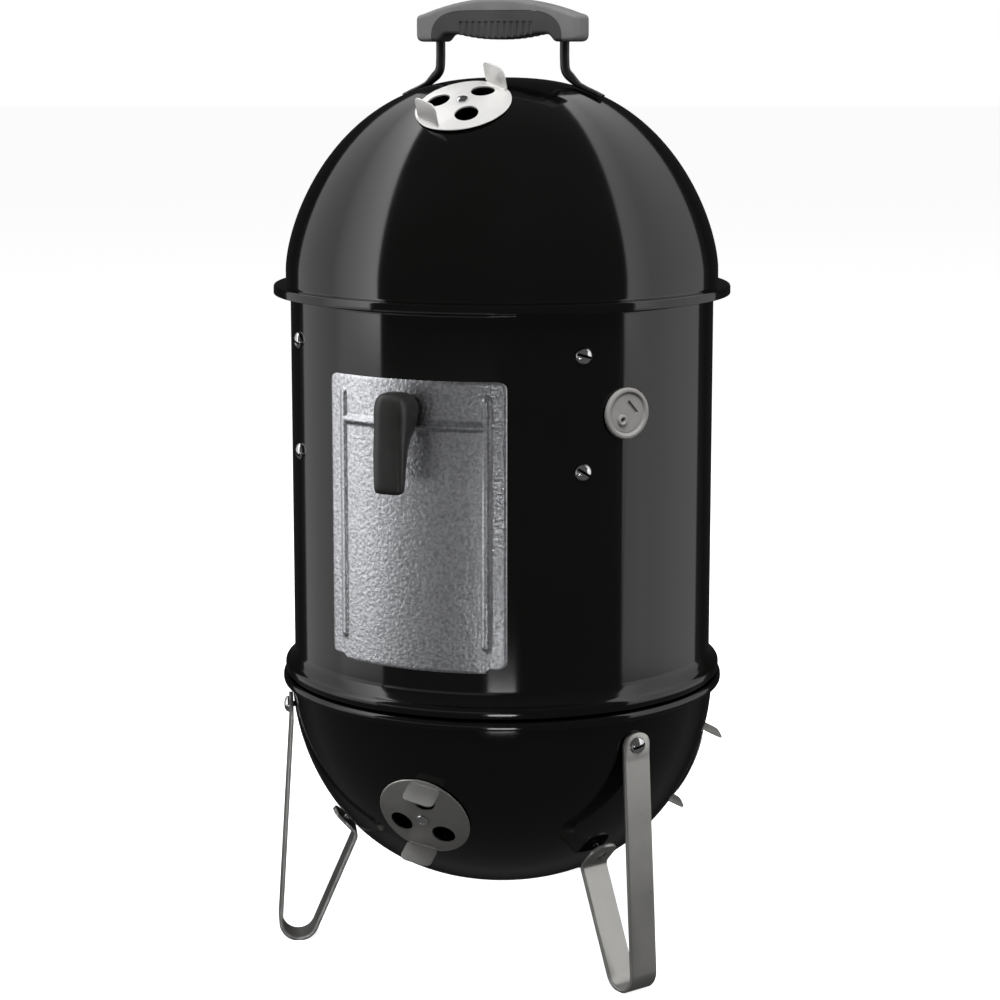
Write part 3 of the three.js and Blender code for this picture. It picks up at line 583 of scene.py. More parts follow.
def makeCentre():
    wall, top, bead = centre["radius"], centre["topZ"], centre["beadRadius"]
    inner, beadZ, skirt = wall - sheetThickness, centre["beadZ"], centre["skirtRadius"]
    roll, flareZ = centre["rollRadius"], centre["flareZ"]
    profile = filleted([
        (skirt - sheetThickness, centre["skirtZ"], 0.5),
        (skirt, centre["skirtZ"], 0.5),
        (skirt, beadZ - 5.2, 1.5),
        (bead, beadZ - 3.6, 3),
        (bead, beadZ + 4.6, 3.5),
        (wall + 4.2, beadZ + 6.6, 6),
        (wall, flareZ - 2, 14),
        (wall, top - 7.2, 1.5),
        (roll, top - 4.6, 2.4),
        (roll, top, 2),
        (wall, top, 2),
        (inner, top - 3, 1.5),
        (inner, flareZ - 2, 14),
        (wall + 2.9, beadZ + 5.5, 6),
        (bead - sheetThickness, beadZ + 3.4, 3),
        (bead - sheetThickness, beadZ - 2.4, 2),
        (skirt - sheetThickness, beadZ - 4, 1.5),
    ], closed=True)
    bm = turned(profile, 200, ring=True)
    side = door["halfWidth"] - door["overlap"]
    low, high = door["bottomZ"] + door["overlap"] + 2, door["topZ"] - door["overlap"]
    corners = ((-side, low), (side, low), (side, high), (-side, high))
    opening = filleted([(x, z, door["openingCorner"]) for x, z in corners], True)
    cutters = [
        moved(plate(opening, *door["openingCut"]), wallSeat(door["azimuth"], 0, 0)),
        moved(rod(grommet["hole"], 30, 48), wallSeat(grommet["azimuth"], wall, grommet["z"])),
    ]
    for number in strap["numbers"]:
        for level in strap["levels"]:
            spot = middleOf(f"strap_screw_{number}_{level}")
            cutters.append(moved(rod(strap["screwHole"], 20), wallSeat(azimuthOf(spot), wall, spot.z / mm)))
    bm = combined(bm, merged(*cutters))
    addPiece(bm, "centreShell", "centre_section", enamel, ["centre_shell"])


leg = {
    "thickness": 3.2, "width": 25.4, "topZ": 213, "topRadius": 179.5, "kneeZ": 191, "footRadius": 190.8,
    "footBend": 17, "upperBoltZ": 203, "lowerBoltRadius": 129.5, "tabReach": 13.5, "endRound": 9,
    "clearance": 1, "footFlat": 0.6, "footBegin": 0.06, "footTurn": 0.86, "footSteps": 18,
    "boltHole": 2.7, "boltCut": 24, "across": 14,
}
legAzimuths = {side: azimuthOf(mounts[f"foot_{side}"]["pos_m"]) for side in ("right", "back", "left")}


def legBoltHoles(azimuth, upperRadius):
    upper = wallSeat(azimuth, upperRadius, leg["upperBoltZ"])
    lower = bowlSeat(azimuth, leg["lowerBoltRadius"])
    return [moved(rod(leg["boltHole"], leg["boltCut"]), place) for place in (upper, lower)]


makeLid()
makeBowl()
makeCentre()
print("shells made")


def dishDrop(x, y):
    # the disc curves away from the flat band that joins its two tabs
    side = max(abs(x) - damper["bandHalf"], 0)
    return (y * y + side * (side + 2 * damper["bandHalf"])) / (2 * damper["dish"])


def makeDamperMesh():
    radius, thick, inner = damper["radius"], damper["thickness"], damper["rivetHole"]
    count = damper["rows"]
    rows = [inner + (radius - 0.5 - inner) * i / count for i in range(count + 1)]
    edge = [(radius, thick - 0.4), (radius, 0.4)]
    line = [(r, thick) for r in rows] + edge + [(r, 0) for r in rows[::-1]]
    bm = turned(line, 96, ring=True)
    bm = combined(bm, airHoles(10))
    for v in bm.verts:
        v.co.z -= dishDrop(v.co.x / mm, v.co.y / mm) * mm
    # a tab is the band bent up, thin plate with round outer corners and a notch at each root
    half, tall = damper["tabHalf"], damper["tabHeight"]
    foot = -dishDrop(0, damper["tabLine"])
    outline = filleted([
        (-half + 1.2, foot + 0.4, 0), (half - 1.2, foot + 0.4, 0), (half - 1.2, foot + 2.6, 0.8),
        (half, foot + 3.4, 0.8), (half, foot + tall, 6), (-half, foot + tall, 6),
        (-half, foot + 3.4, 0.8), (-half + 1.2, foot + 2.6, 0.8),
    ], True)
    tabs = []
    along = Matrix.Rotation(math.pi / 2, 4, "Y")
    for side in (-1, 1):
        tab = plate(outline, -thick / 2, thick / 2)
        roundEdges(tab, rimEdges(tab), 0.3, 2)
        upright = Matrix.Rotation(math.pi / 2, 4, "X")
        moved(tab, Matrix.Translation((0, side * damper["tabLine"] * mm, 0)) @ upright)
        bend = rod(1.5, 2 * half - 3, 24, (0, side * (damper["tabLine"] - 0.7), foot + 1), along)
        tabs += [tab, bend]
    return merged(bm, *tabs)


def makeRivet():
    # its outer head sits just off the damper, its inner one under the shell
    top = damper["clearance"] + damper["thickness"] + 0.15
    inside = -sheetThickness - 1.6
    profile = filleted([
        (0, inside - 1.9, 0), (3.2, inside - 1.8, 1.5), (5, inside, 0.3), (2.9, inside, 0), (2.9, top, 0),
        (5, top, 0.4), (4.8, top + 1.2, 1.5), (1.5, top + 2, 2), (0, top + 2, 0),
    ])
    return turned(profile, 40)


for name, (shell, place) in damperSeats.items():
    lifted = place @ Matrix.Translation((0, 0, damper["clearance"] * mm))
    # the bowl's dampers get the darker copy of the sheet, painted shade
    sheet = damperSheet if shell == "lid" else shadedDamperSheet
    disc, rivet = moved(makeDamperMesh(), lifted), moved(makeRivet(), place)
    addPiece(disc, name + "_plate", name, sheet, [name], 25)
    addPiece(rivet, name + "_rivetHead", shell, plated, [name + "_rivet"])
print("dampers made")


screw = {
    "headRadius": 6.7, "headHeight": 4, "shankRadius": 2.4, "slotWidth": 2, "slotDepth": 1.9,
    "thread": 1.0, "threadDepth": 0.35, "proud": 0.3, "legGap": 1.3,
    "wallLength": 11, "legUpper": 13.6, "legLower": 12.7,
}
# how far each screw's slot is turned, in radians: (upper, lower)
strapSlots = {1: (-0.3, -0.55), 2: (0.9, 0.2), 3: (-1.1, 0.5), 4: (-0.35, -0.5)}
legSlots = {"right": (0.25, 0.9), "back": (1.2, -0.4), "left": (-0.5, 0.3)}


def makeScrew(length, slotTurn):
    # pan head with one slot, and a shank with rolled rings for the thread
    radius, height, shank = screw["headRadius"], screw["headHeight"], screw["shankRadius"]
    threaded = []
    rings = int((length - 2) / screw["thread"])
    for i in range(rings):
        z = -length + 1 + i * screw["thread"]
        threaded += [(shank - screw["threadDepth"], z), (shank, z + 0.5 * screw["thread"])]
    profile = filleted([
        (radius, 0, 0.3), (radius, 0.3 * height, 1), (0.8 * radius, 0.72 * height, 3),
        (0.3 * radius, height, 5), (0, height, 0),
    ], steps=6)
    bm = turned([(0, -length), (shank - 0.6, -length)] + threaded + [(shank, 0)] + profile, 36)
    slot = block(3 * radius, screw["slotWidth"], 2 * screw["slotDepth"], (0, 0, height))
    turn = Matrix.Rotation(slotTurn, 4, "Z")
    bm = combined(bm, moved(slot, turn))
    # painted shade: the slot's floor and sides are marked to take a dark colour, for the shade deep in the slot
    slotShade = bm.faces.layers.float.new("slotShade")
    slotFloor = height - screw["slotDepth"] - 0.01
    for face in bm.faces:
        middle = turn.inverted() @ face.calc_center_median() / mm
        face[slotShade] = float(abs(middle.y) < screw["slotWidth"] / 2 + 0.01 and middle.z > slotFloor)
    return bm


for number in strap["numbers"]:
    for level, slotTurn in zip(strap["levels"], strapSlots[number]):
        node = f"strap_screw_{number}_{level}"
        spot = middleOf(node)
        place = wallSeat(azimuthOf(spot), centre["radius"] + screw["proud"], spot.z / mm)
        addPiece(moved(makeScrew(screw["wallLength"], slotTurn), place), f"wallScrew_{number}_{level}",
                 "centre_section", plated, [node])
for side, azimuth in legAzimuths.items():
    under = leg["thickness"] + screw["legGap"]
    lower = bowlSeat(azimuth, leg["lowerBoltRadius"]) @ Matrix.Translation((0, 0, under * mm))
    upper = wallSeat(azimuth, leg["topRadius"] + screw["proud"], leg["upperBoltZ"])
    for level, place, length, slotTurn in (
        ("upper", upper, screw["legUpper"], legSlots[side][0]),
        ("lower", lower, screw["legLower"], legSlots[side][1]),
    ):
        addPiece(moved(makeScrew(length, slotTurn), place), f"legScrew_{side}_{level}",
                 "bowl", plated, [f"leg_{side}_screw_{level}"])
print("screws made")


def legLine():
    # the strap's outer face: down the side, round the foot, back up under the bowl and flat against it
    lean = domeLean(bowl, leg["lowerBoltRadius"])
    along = Vector((math.cos(lean), math.sin(lean)))
    bolt = Vector((leg["lowerBoltRadius"], domeZ(bowl, leg["lowerBoltRadius"])))
    middle = bolt + Vector((along.y, -along.x)) * (leg["thickness"] + leg["clearance"])
    bend = leg["footBend"]
    footX, footZ = leg["footRadius"] - bend, bend - leg["footFlat"]
    arc = []
    begin, steps = leg["footBegin"], leg["footSteps"]
    for i in range(steps + 1):
        angle = begin - (leg["footTurn"] * math.pi + begin) * i / steps
        arc.append((footX + bend * math.cos(angle), footZ + bend * math.sin(angle), 0))
    start, end = middle - along * (leg["tabReach"] + 1.5), middle + along * leg["tabReach"]
    outer = leg["topRadius"]
    return filleted([(outer, leg["topZ"], 0), (outer, leg["kneeZ"], 60)] + arc
                    + [(start.x, start.y, 9), (end.x, end.y, 0)], steps=8)


def makeLegMesh():
    # a row of points across the strap, pulled along its line, then given its thickness and rounded edges
    line = legLine()
    half, across = leg["width"] / 2, leg["across"]
    bm = bmesh.new()
    row = [bm.verts.new((half * (2 * i / across - 1) * mm, 0, 0)) for i in range(across + 1)]
    for pair in zip(row, row[1:]):
        bm.edges.new(pair)
    edges = bm.edges[:]
    bmesh.ops.translate(bm, vec=(0, -line[0][0] * mm, line[0][1] * mm), verts=row)
    rows = [row]
    for before, after in zip(line, line[1:]):
        pulled = bmesh.ops.extrude_edge_only(bm, edges=edges)
        made = [v for v in pulled["geom"] if isinstance(v, bmesh.types.BMVert)]
        row = sorted(made, key=lambda v: v.co.x)
        sides = [e for e in pulled["geom"] if isinstance(e, bmesh.types.BMEdge)]
        edges = [e for e in sides if abs(e.verts[0].co.x - e.verts[1].co.x) > 1e-6]
        step = (0, (before[0] - after[0]) * mm, (after[1] - before[1]) * mm)
        bmesh.ops.translate(bm, vec=step, verts=row)
        rows.append(row)
    for end, inward in ((rows[0], rows[1]), (rows[-1], rows[-2])):
        pull = (inward[0].co - end[0].co).normalized()
        for v in end:
            share = v.co.x / (half * mm)
            v.co += pull * leg["endRound"] * mm * (1 - math.sqrt(1 - min(share ** 2, 0.999)))
    bmesh.ops.recalc_face_normals(bm, faces=bm.faces)
    bm.faces.ensure_lookup_table()
    if bm.faces[0].normal.y > 0:
        bmesh.ops.reverse_faces(bm, faces=bm.faces)
    bmesh.ops.solidify(bm, geom=bm.faces[:], thickness=leg["thickness"] * mm)
    rims = [e for e in bm.edges if len(e.link_faces) == 2 and e.calc_face_angle() > math.radians(60)]
    roundEdges(bm, rims, 0.5, 2)
    bmesh.ops.recalc_face_normals(bm, faces=bm.faces)
    return bm


for side, azimuth in legAzimuths.items():
    bm = moved(makeLegMesh(), Matrix.Rotation(azimuth, 4, "Z"))
    for v in bm.verts:
        v.co.z = max(v.co.z, 0)  # the foot is flat where it stands
    bm = combined(bm, merged(*legBoltHoles(azimuth, leg["topRadius"])))
    addPiece(bm, f"legStrap_{side}", "bowl", legStrap, [f"leg_{side}"], 40)
print("legs made")


def beadHeight(x, z):
    low, high = door["sideBeadZ"]
    half = door["beadHalf"]
    away = math.hypot(abs(x) - door["sideBeadX"], max(low + half - z, z - high + half, 0))
    away = min(away, math.hypot(z - door["crossBeadZ"], max(abs(x) - door["sideBeadX"] + half, 0)))
    return door["beadHeight"] * math.sqrt(1 - (away / half) ** 2) ** 1.3 if away < half else 0


def sliced(bm, place, normal):
    whole = bm.verts[:] + bm.edges[:] + bm.faces[:]
    bmesh.ops.bisect_plane(bm, geom=whole, plane_co=place, plane_no=normal)


def wrapped(bm):
    # until now -Y held the radius and X the width; here the sheet goes round the smoker
    for v in bm.verts:
        v.co.y = -math.sqrt(v.co.y ** 2 - v.co.x ** 2)
    return bm


def makeDoor():
    half, low, high = door["halfWidth"], door["bottomZ"], door["topZ"]
    lip, drop, corner = door["lipHalf"], door["lipDrop"], door["corner"]
    outline = filleted([
        (half, high, corner), (-half, high, corner), (-half, low, corner), (-lip - drop, low, 1.5),
        (-lip, low - drop, 1.5), (lip, low - drop, 1.5), (lip + drop, low, 1.5), (half, low, corner),
    ], True)
    bm = bmesh.new()
    bm.faces.new([bm.verts.new((x * mm, -door["inner"] * mm, z * mm)) for x, z in outline])
    # cut into a grid, finer along the beads
    beadRows = [k * door["beadMesh"] for k in range(-door["beadLines"], door["beadLines"] + 1)]
    fineX = [side * door["sideBeadX"] + row for side in (-1, 1) for row in beadRows]
    fineZ = [door["crossBeadZ"] + row for row in beadRows]
    coarseX = [-half + k * door["mesh"] for k in range(1, int(2 * half / door["mesh"]) + 1)]
    coarseZ = [low - drop + k * door["mesh"] for k in range(1, int((high - low + drop) / door["mesh"]) + 1)]
    farX = [x for x in coarseX if min(abs(x - f) for f in fineX) > 0.5]
    farZ = [z for z in coarseZ if min(abs(z - f) for f in fineZ) > 0.5]
    for x in fineX + farX:
        sliced(bm, (x * mm, 0, 0), (1, 0, 0))
    for z in fineZ + farZ:
        sliced(bm, (0, 0, z * mm), (0, 0, 1))
    spindle = Vector((0, -door["inner"] * mm, door["handleZ"] * mm))
    inHole = [f for f in bm.faces if (f.calc_center_median() - spindle).length < door["spindleHole"] * mm]
    bmesh.ops.delete(bm, geom=inHole, context="FACES")
    bmesh.ops.recalc_face_normals(bm, faces=bm.faces)
    raised = bmesh.ops.extrude_face_region(bm, geom=bm.faces[:])
    front = [v for v in raised["geom"] if isinstance(v, bmesh.types.BMVert)]
    frontSet = set(front)
    border = {v for v in front if any(w not in frontSet for f in v.link_faces for w in f.verts)}
    for v in front:
        x, z = v.co.x / mm, v.co.z / mm
        spot = Vector((x, 0, z)) / door["stuccoSize"]
        grain = noise.noise(spot) + 0.5 * noise.noise(spot * 2.1 + Vector((7, 3, 1)))
        bead = beadHeight(x, z)
        quiet = 1 - (1 - door["stuccoOnBead"]) * bead / door["beadHeight"]
        height = door["thickness"] + bead + door["stuccoDepth"] * grain * quiet
        if v in border:
            height = door["thickness"] - door["edgeDrop"]
        v.co.y -= height * mm
    wrapped(bm)
    bmesh.ops.recalc_face_normals(bm, faces=bm.faces)
    # the shelf lip that hooks in through the doorway
    shelfPlace = (0, -door["shelfMiddle"], low + door["overlap"] + door["shelfRise"])
    shelf = block(2 * lip - 8, door["shelfDepth"], door["thickness"], shelfPlace)
    for k in range(-8, 9):
        sliced(shelf, (k * lip / 9 * mm, 0, 0), (1, 0, 0))
    whole = merged(bm, wrapped(shelf))
    moved(whole, Matrix.Rotation(door["azimuth"], 4, "Z"))
    addPiece(whole, "doorPanel", "door", stucco, ["door_panel"], 50)


makeDoor()
print("door made")


# sections down the paddle: (height from the spindle, half width, back, front), with the back and front
# measured out from the wall
handle = {
    "sections": [
        (15.6, 4, 24, 31), (14.8, 8, 15, 36), (12, 11.5, 9, 38.6), (7, 13.4, 6, 39.7), (0, 14, 5, 40),
        (-7, 13.9, 5.2, 40), (-12, 13.6, 8, 40), (-17, 13.3, 14, 40), (-22, 13.1, 19.5, 40),
        (-29, 12.9, 23.5, 40), (-40, 12.6, 26, 40), (-50, 12.3, 27.5, 40), (-57, 12, 28.5, 39.9),
        (-60.3, 11.4, 29.5, 39.3), (-61.7, 9.6, 31.5, 38),
    ],
    "ringPoints": 40, "squareness": 3.6, "spindleRadius": 3.8,
}


def makeDoorHandle():
    bm = bmesh.new()
    rings = []
    power = handle["squareness"]
    for z, halfWidth, back, front in handle["sections"]:
        ring = bmesh.ops.create_circle(bm, segments=handle["ringPoints"], radius=1)["verts"]
        deep = (front - back) / 2
        for v in ring:
            size = (abs(v.co.x) ** power + abs(v.co.y) ** power) ** (1 / power)
            v.co = Vector((v.co.x / size * halfWidth, z, (front + back) / 2 + v.co.y / size * deep)) * mm
        rings.append(ring)
    for above, below in zip(rings, rings[1:]):
        edges = [e for e in bm.edges if all(v in above or v in below for v in e.verts) and (
            all(v in above for v in e.verts) or all(v in below for v in e.verts))]
        bmesh.ops.bridge_loops(bm, edges=edges)
    for ring in (rings[0], rings[-1]):
        cap = [e for e in bm.edges if all(v in ring for v in e.verts)]
        bmesh.ops.contextual_create(bm, geom=cap)
    bmesh.ops.recalc_face_normals(bm, faces=bm.faces)
    stem = turned(filleted([
        (0, 4.6, 0), (11.4, 4.6, 0.6), (10.6, 9, 4), (11, 24, 0), (0, 24, 0),
    ]), 48)
    spindle = rod(handle["spindleRadius"], 16, 24, (0, 0, -1.5))
    whole = moved(merged(bm, stem, spindle), wallSeat(door["azimuth"], centre["radius"], door["handleZ"]))
    piece = addPiece(whole, "doorPaddle", "door_latch", blackNylon, ["door_handle"], 60)
    smooth = piece.modifiers.new("smooth", "SUBSURF")
    smooth.levels = 1
    smooth.render_levels = 1


makeDoorHandle()


def makeGrommet():
    radius, neck = grommet["radius"], grommet["neck"]
    outside, inside = grommet["outside"], grommet["inside"]
    profile = filleted([
        (0, inside - 3, 0), (radius - 3, inside - 3, 1), (radius - 2, inside, 0.3), (neck, inside, 0.3),
        (neck, outside, 0.2), (radius, outside, 0.3), (radius, outside + 3.6, 1.6),
        (radius - 3, outside + 3.8, 1), (radius - 4.4, outside + 1.7, 0.8), (radius - 6, outside + 2.1, 0.6),
        (0, outside + 2.1, 0),
    ])
    probe = grommet["probeHole"]
    boss = turned(filleted([
        (probe, outside, 0), (4.4, outside + 0.5, 0), (4.2, outside + 4, 1), (2.4, outside + 4.1, 0.6),
        (probe, outside + 2.6, 0.4),
    ], True), 40, ring=True)
    bossX, bossY = grommet["boss"]
    slotX, slotY = grommet["slotPlace"]
    aslant = Matrix.Translation((slotX * mm, slotY * mm, 0)) @ Matrix.Rotation(grommet["slotTurn"], 4, "Z")
    slot = moved(block(*grommet["slot"], (0, 0, outside + 2.6)), aslant)
    hole = rod(probe, 30, 24, (bossX, bossY, 0))
    bm = combined(combined(turned(profile, 96), slot), hole)
    whole = merged(bm, moved(boss, Matrix.Translation((bossX * mm, bossY * mm, 0))))
    moved(whole, wallSeat(grommet["azimuth"], centre["radius"], grommet["z"]))
    addPiece(whole, "probeGrommet", "centre_section", silicone, ["probe_grommet"], 40)


makeGrommet()
print("handle and grommet made")


grip = {
    "turn": door["azimuth"], "halfLength": 72, "depth": 26, "edge": 3.6,
    "topZ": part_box("grip_shell")[1].z / mm, "endTopZ": 773.6, "bottomZ": 751.6,
    "recessZ": 757.5, "recessHalf": 46, "bulge": 4.2, "bulgeHalf": 35,
    "seamTopZ": 776.5, "seamHalf": 57.5, "seamFlat": 26, "seamGap": 0.3,
    "ribs": 11, "ribPitch": 5.6, "ribHighZ": 768, "grooveRadius": 2.1, "grooveOut": 1,
}
gripScrew = {"recess": 0.4, "socketDepth": 0.9, "socketRadius": 0.8, "headRadius": 3.1, "shankRadius": 1.6}
rodSize = {
    "radius": 3.9, "gap": 0.6, "flatFrom": 62, "flatOver": 10, "flatHeight": 0.5, "flatWiden": 0.2,
    # along the dome: (x, height above it, corner radius)
    "foot": [(88, 0, 0), (82, 0, 40), (75, 0, 40), (66, 0.3, 14)],
    # up into the grip: (x, height, corner radius)
    "upright": [(55.7, 727, 12), (55.2, 740, 20), (55.2, 764.5, 9), (20, 765, 0)],
}


def recessLine(x):
    # the underside between the posts swells down where the fingers hold it
    return grip["recessZ"] - grip["bulge"] * max(1 - (x / grip["bulgeHalf"]) ** 2, 0)


def gripOutline():
    half, bottom = grip["halfLength"], grip["bottomZ"]
    reach, sag = half - 7, grip["topZ"] - grip["endTopZ"] - 0.9
    arch = []
    for i in range(25):
        x = reach * (1 - i / 12)
        arch.append((x, grip["topZ"] - sag * (x / reach) ** 2, 0))
    feet = [
        (-half, grip["endTopZ"] - 1, 8), (-half, bottom, 6), (-grip["recessHalf"] - 5, bottom, 5),
        (-grip["recessHalf"], grip["recessZ"], 5),
    ]
    for i in range(13):
        x = grip["bulgeHalf"] * (i / 6 - 1)
        feet.append((x, recessLine(x), 0))
    feet += [
        (grip["recessHalf"], grip["recessZ"], 5), (grip["recessHalf"] + 5, bottom, 5), (half, bottom, 6),
        (half, grip["endTopZ"] - 1, 8),
    ]
    return filleted(arch + feet, True, 6)


def gripBody():
    half = grip["depth"] / 2
    bm = plate(gripOutline(), -half, half)
    roundEdges(bm, rimEdges(bm), grip["edge"], 5)
    return moved(bm, Matrix.Rotation(math.pi / 2, 4, "X"))


def belowSeam(margin):
    half, top, flat = grip["seamHalf"] + margin, grip["seamTopZ"] + margin, grip["seamFlat"]
    low = grip["bottomZ"] - 10
    start, corner, end = Vector((half, grip["bottomZ"] + 6)), Vector((half - 2, top)), Vector((flat, top))
    side = []
    for i in range(13):
        t = i / 12
        side.append(tuple(start * (1 - t) ** 2 + corner * 2 * t * (1 - t) + end * t ** 2))
    outline = [(-half, low), (half, low)] + side + [(-x, z) for x, z in side[::-1]]
    return moved(plate(outline, -grip["depth"], grip["depth"]), Matrix.Rotation(math.pi / 2, 4, "X"))


def makeGrip():
    turn = Matrix.Rotation(grip["turn"], 4, "Z")
    shell = combined(gripBody(), belowSeam(grip["seamGap"]))
    addPiece(moved(shell, turn), "gripTop", "lid", greyGrip, ["grip_shell"], 40)
    insert = combined(gripBody(), belowSeam(0), "INTERSECT")
    upright, under = [], []
    across = Matrix.Rotation(math.pi / 2, 4, "X")
    radius, length = grip["grooveRadius"], grip["ribHighZ"] - grip["bottomZ"] + 4
    for i in range(grip["ribs"] + 1):
        x = (i - grip["ribs"] / 2) * grip["ribPitch"]
        for side in (-1, 1):
            middle = (x, side * (grip["depth"] / 2 + grip["grooveOut"]), grip["ribHighZ"] - length / 2)
            upright.append(rod(radius, length, 16, middle))
        middle = (x, 0, recessLine(x) - grip["grooveOut"])
        under.append(rod(radius, grip["depth"] + 4, 16, middle, across))
    insert = combined(combined(insert, merged(*upright)), merged(*under))
    addPiece(moved(insert, turn), "gripInsert", "lid", darkGrip, ["grip_insert"], 40)


def makeGripScrew(node):
    # a countersunk screw, its head just inside the underside of the grip
    middle = middleOf(node) - axis
    top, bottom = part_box(node)[1].z / mm, grip["recessZ"] + gripScrew["recess"]
    floor, socket = bottom + gripScrew["socketDepth"], gripScrew["socketRadius"]
    head, shank = gripScrew["headRadius"], gripScrew["shankRadius"]
    profile = filleted([
        (0, floor, 0), (socket, floor, 0), (socket + 0.2, bottom, 0.2), (head, bottom, 0.3),
        (shank, bottom + 2, 0.3), (shank, top, 0.3), (0, top, 0),
    ])
    place = Matrix.Translation((middle.x, middle.y, 0))
    name = node.replace("grip_screw", "gripScrew")
    addPiece(moved(turned(profile, 24), place), name, "lid", plated, [node])


def sweptTube(points, radius, name):
    line = bpy.data.curves.new(name, "CURVE")
    line.dimensions = "3D"
    line.bevel_depth = radius * mm
    line.bevel_resolution = 5
    line.use_fill_caps = True
    path = line.splines.new("POLY")
    path.points.add(len(points) - 1)
    for point, (x, y, z) in zip(path.points, points):
        point.co = (x * mm, y * mm, z * mm, 1)
    shown = bpy.data.objects.new(name, line)
    scene.collection.objects.link(shown)
    graph = bpy.context.evaluated_depsgraph_get()
    mesh = bpy.data.meshes.new_from_object(shown.evaluated_get(graph))
    bm = bmesh.new()
    bm.from_mesh(mesh)
    bpy.data.objects.remove(shown)
    bpy.data.curves.remove(line)
    bpy.data.meshes.remove(mesh)
    bmesh.ops.remove_doubles(bm, verts=bm.verts, dist=1e-6)
    bmesh.ops.recalc_face_normals(bm, faces=bm.faces)
    return bm


def makeHandleRod():
    radius = rodSize["radius"]

    def onDome(x):
        return domeZ(lid, x) + (radius + rodSize["gap"]) / math.cos(domeLean(lid, x))

    foot = [(x, onDome(x) + above, corner) for x, above, corner in rodSize["foot"]]
    path = filleted(foot + rodSize["upright"], steps=8)
    points = [(x, 0, z) for x, z in path] + [(-x, 0, z) for x, z in path[::-1]]
    bm = sweptTube(points, radius, "handleRodPath")
    # the foot is pressed flat on the dome
    flat = rodSize["flatHeight"]
    for v in bm.verts:
        x = abs(v.co.x) / mm
        share = min(max((x - rodSize["flatFrom"]) / rodSize["flatOver"], 0), 1)
        share = share * share * (3 - 2 * share)
        if share > 0:
            under = (1 - flat) * radius / math.cos(domeLean(lid, x))
            height = v.co.z / mm - onDome(x)
            v.co.z = (onDome(x) - share * under + height * (1 - share * (1 - flat))) * mm
            v.co.y *= 1 + rodSize["flatWiden"] * share
    moved(bm, Matrix.Rotation(grip["turn"], 4, "Z"))
    addPiece(bm, "handleRod", "lid", blackPaint, ["handle_rod"], 50)


makeGrip()
for node in ("grip_screw_left", "grip_screw_right"):
    makeGripScrew(node)
makeHandleRod()
print("lid handle made")


grates = {
    "upper_grate": {"wire": 3, "bar": 2, "spacing": 12.6, "metal": wirePlate, "slot": "plated_steel"},
    "lower_grate": {"wire": 2.6, "bar": 1.8, "spacing": 12.6, "metal": wirePlate, "slot": "plated_steel"},
    "charcoal_grate": {"wire": 2.6, "bar": 2.2, "spacing": 15.4, "metal": millSteel, "slot": "grate_steel"},
}


def makeGrate(node, look):
    # a wire ring with bars along Y on it, and two cross bars under them
    bottom, top, outer = roundSize(node)
    wire, bar = look["wire"], look["bar"]
    rim = outer - wire
    turns = [i * math.pi / 7 for i in range(14)]
    ringLine = [(rim + wire * math.cos(turn), wire * math.sin(turn)) for turn in turns]
    parts = [turned(ringLine, 96, ring=True)]
    along = Matrix.Rotation(math.pi / 2, 4, "X")
    across = Matrix.Rotation(math.pi / 2, 4, "Y")
    count = int((rim - wire) / look["spacing"])
    for i in range(-count, count + 1):
        offset = i * look["spacing"]
        length = 2 * math.sqrt(rim ** 2 - offset ** 2)
        parts.append(rod(bar, length, 12, (offset, 0, wire - bar), along))
    for offset in (-0.5 * rim, 0.5 * rim):
        length = 2 * math.sqrt(rim ** 2 - offset ** 2)
        parts.append(rod(bar, length, 12, (0, offset, bar - wire), across))
    bm = moved(merged(*parts), Matrix.Translation((0, 0, (bottom + top) / 2 * mm)))
    addPiece(bm, node + "_wires", node, look["metal"], [node], 40)


for node, look in grates.items():
    makeGrate(node, look)


pan = {"floorRadius": 100, "rimRadius": 131}


def makePan():
    bottom, top, edge = roundSize("water_pan")
    floor, rim, sheet = pan["floorRadius"], pan["rimRadius"], sheetThickness
    outer = [(0, bottom, 0), (floor, bottom, 12), (rim, top - sheet, 4), (edge, top - sheet, 0.5)]
    inner = [(edge, top, 0.5), (rim - 1, top, 3), (floor - 1, bottom + sheet, 11), (0, bottom + sheet, 0)]
    bm = turned(filleted(outer + inner, steps=6), 120)
    addPiece(bm, "waterPan", "water_pan", enamel, ["water_pan"])


fireRing = {"wall": 1.2, "rows": (0.2, 0.4, 0.6, 0.8), "holes": 16, "holeRadius": 7.5, "holeCut": 12}


def makeCharcoalRing():
    bottom, top, radius = roundSize("charcoal_ring")
    inner = radius - fireRing["wall"]
    corners = ((inner, bottom), (radius, bottom), (radius, top), (inner, top))
    profile = filleted([(r, z, 0.3) for r, z in corners], True, 2)
    holes = []
    for row, share in enumerate(fireRing["rows"]):
        z = bottom + share * (top - bottom)
        for i in range(fireRing["holes"]):
            azimuth = (i + 0.5 * (row % 2)) * 2 * math.pi / fireRing["holes"]
            hole = rod(fireRing["holeRadius"], fireRing["holeCut"], 20)
            holes.append(moved(hole, wallSeat(azimuth, radius, z)))
    bm = combined(turned(profile, 120, ring=True), merged(*holes))
    addPiece(bm, "charcoalRing", "charcoal_ring", millSteel, ["charcoal_ring"])


makePan()
makeCharcoalRing()
print("inside made")

# carried-over nodes: hidden hardware that only shows when the smoker is taken apart
for name, node in frame["nodes"].items():
    material = plated if "_nut_" in name else millSteel
    if "_nut_" in name or name.startswith("grate_strap") or name == "latch_lever":
        node.data.materials.clear()
        node.data.materials.append(material)


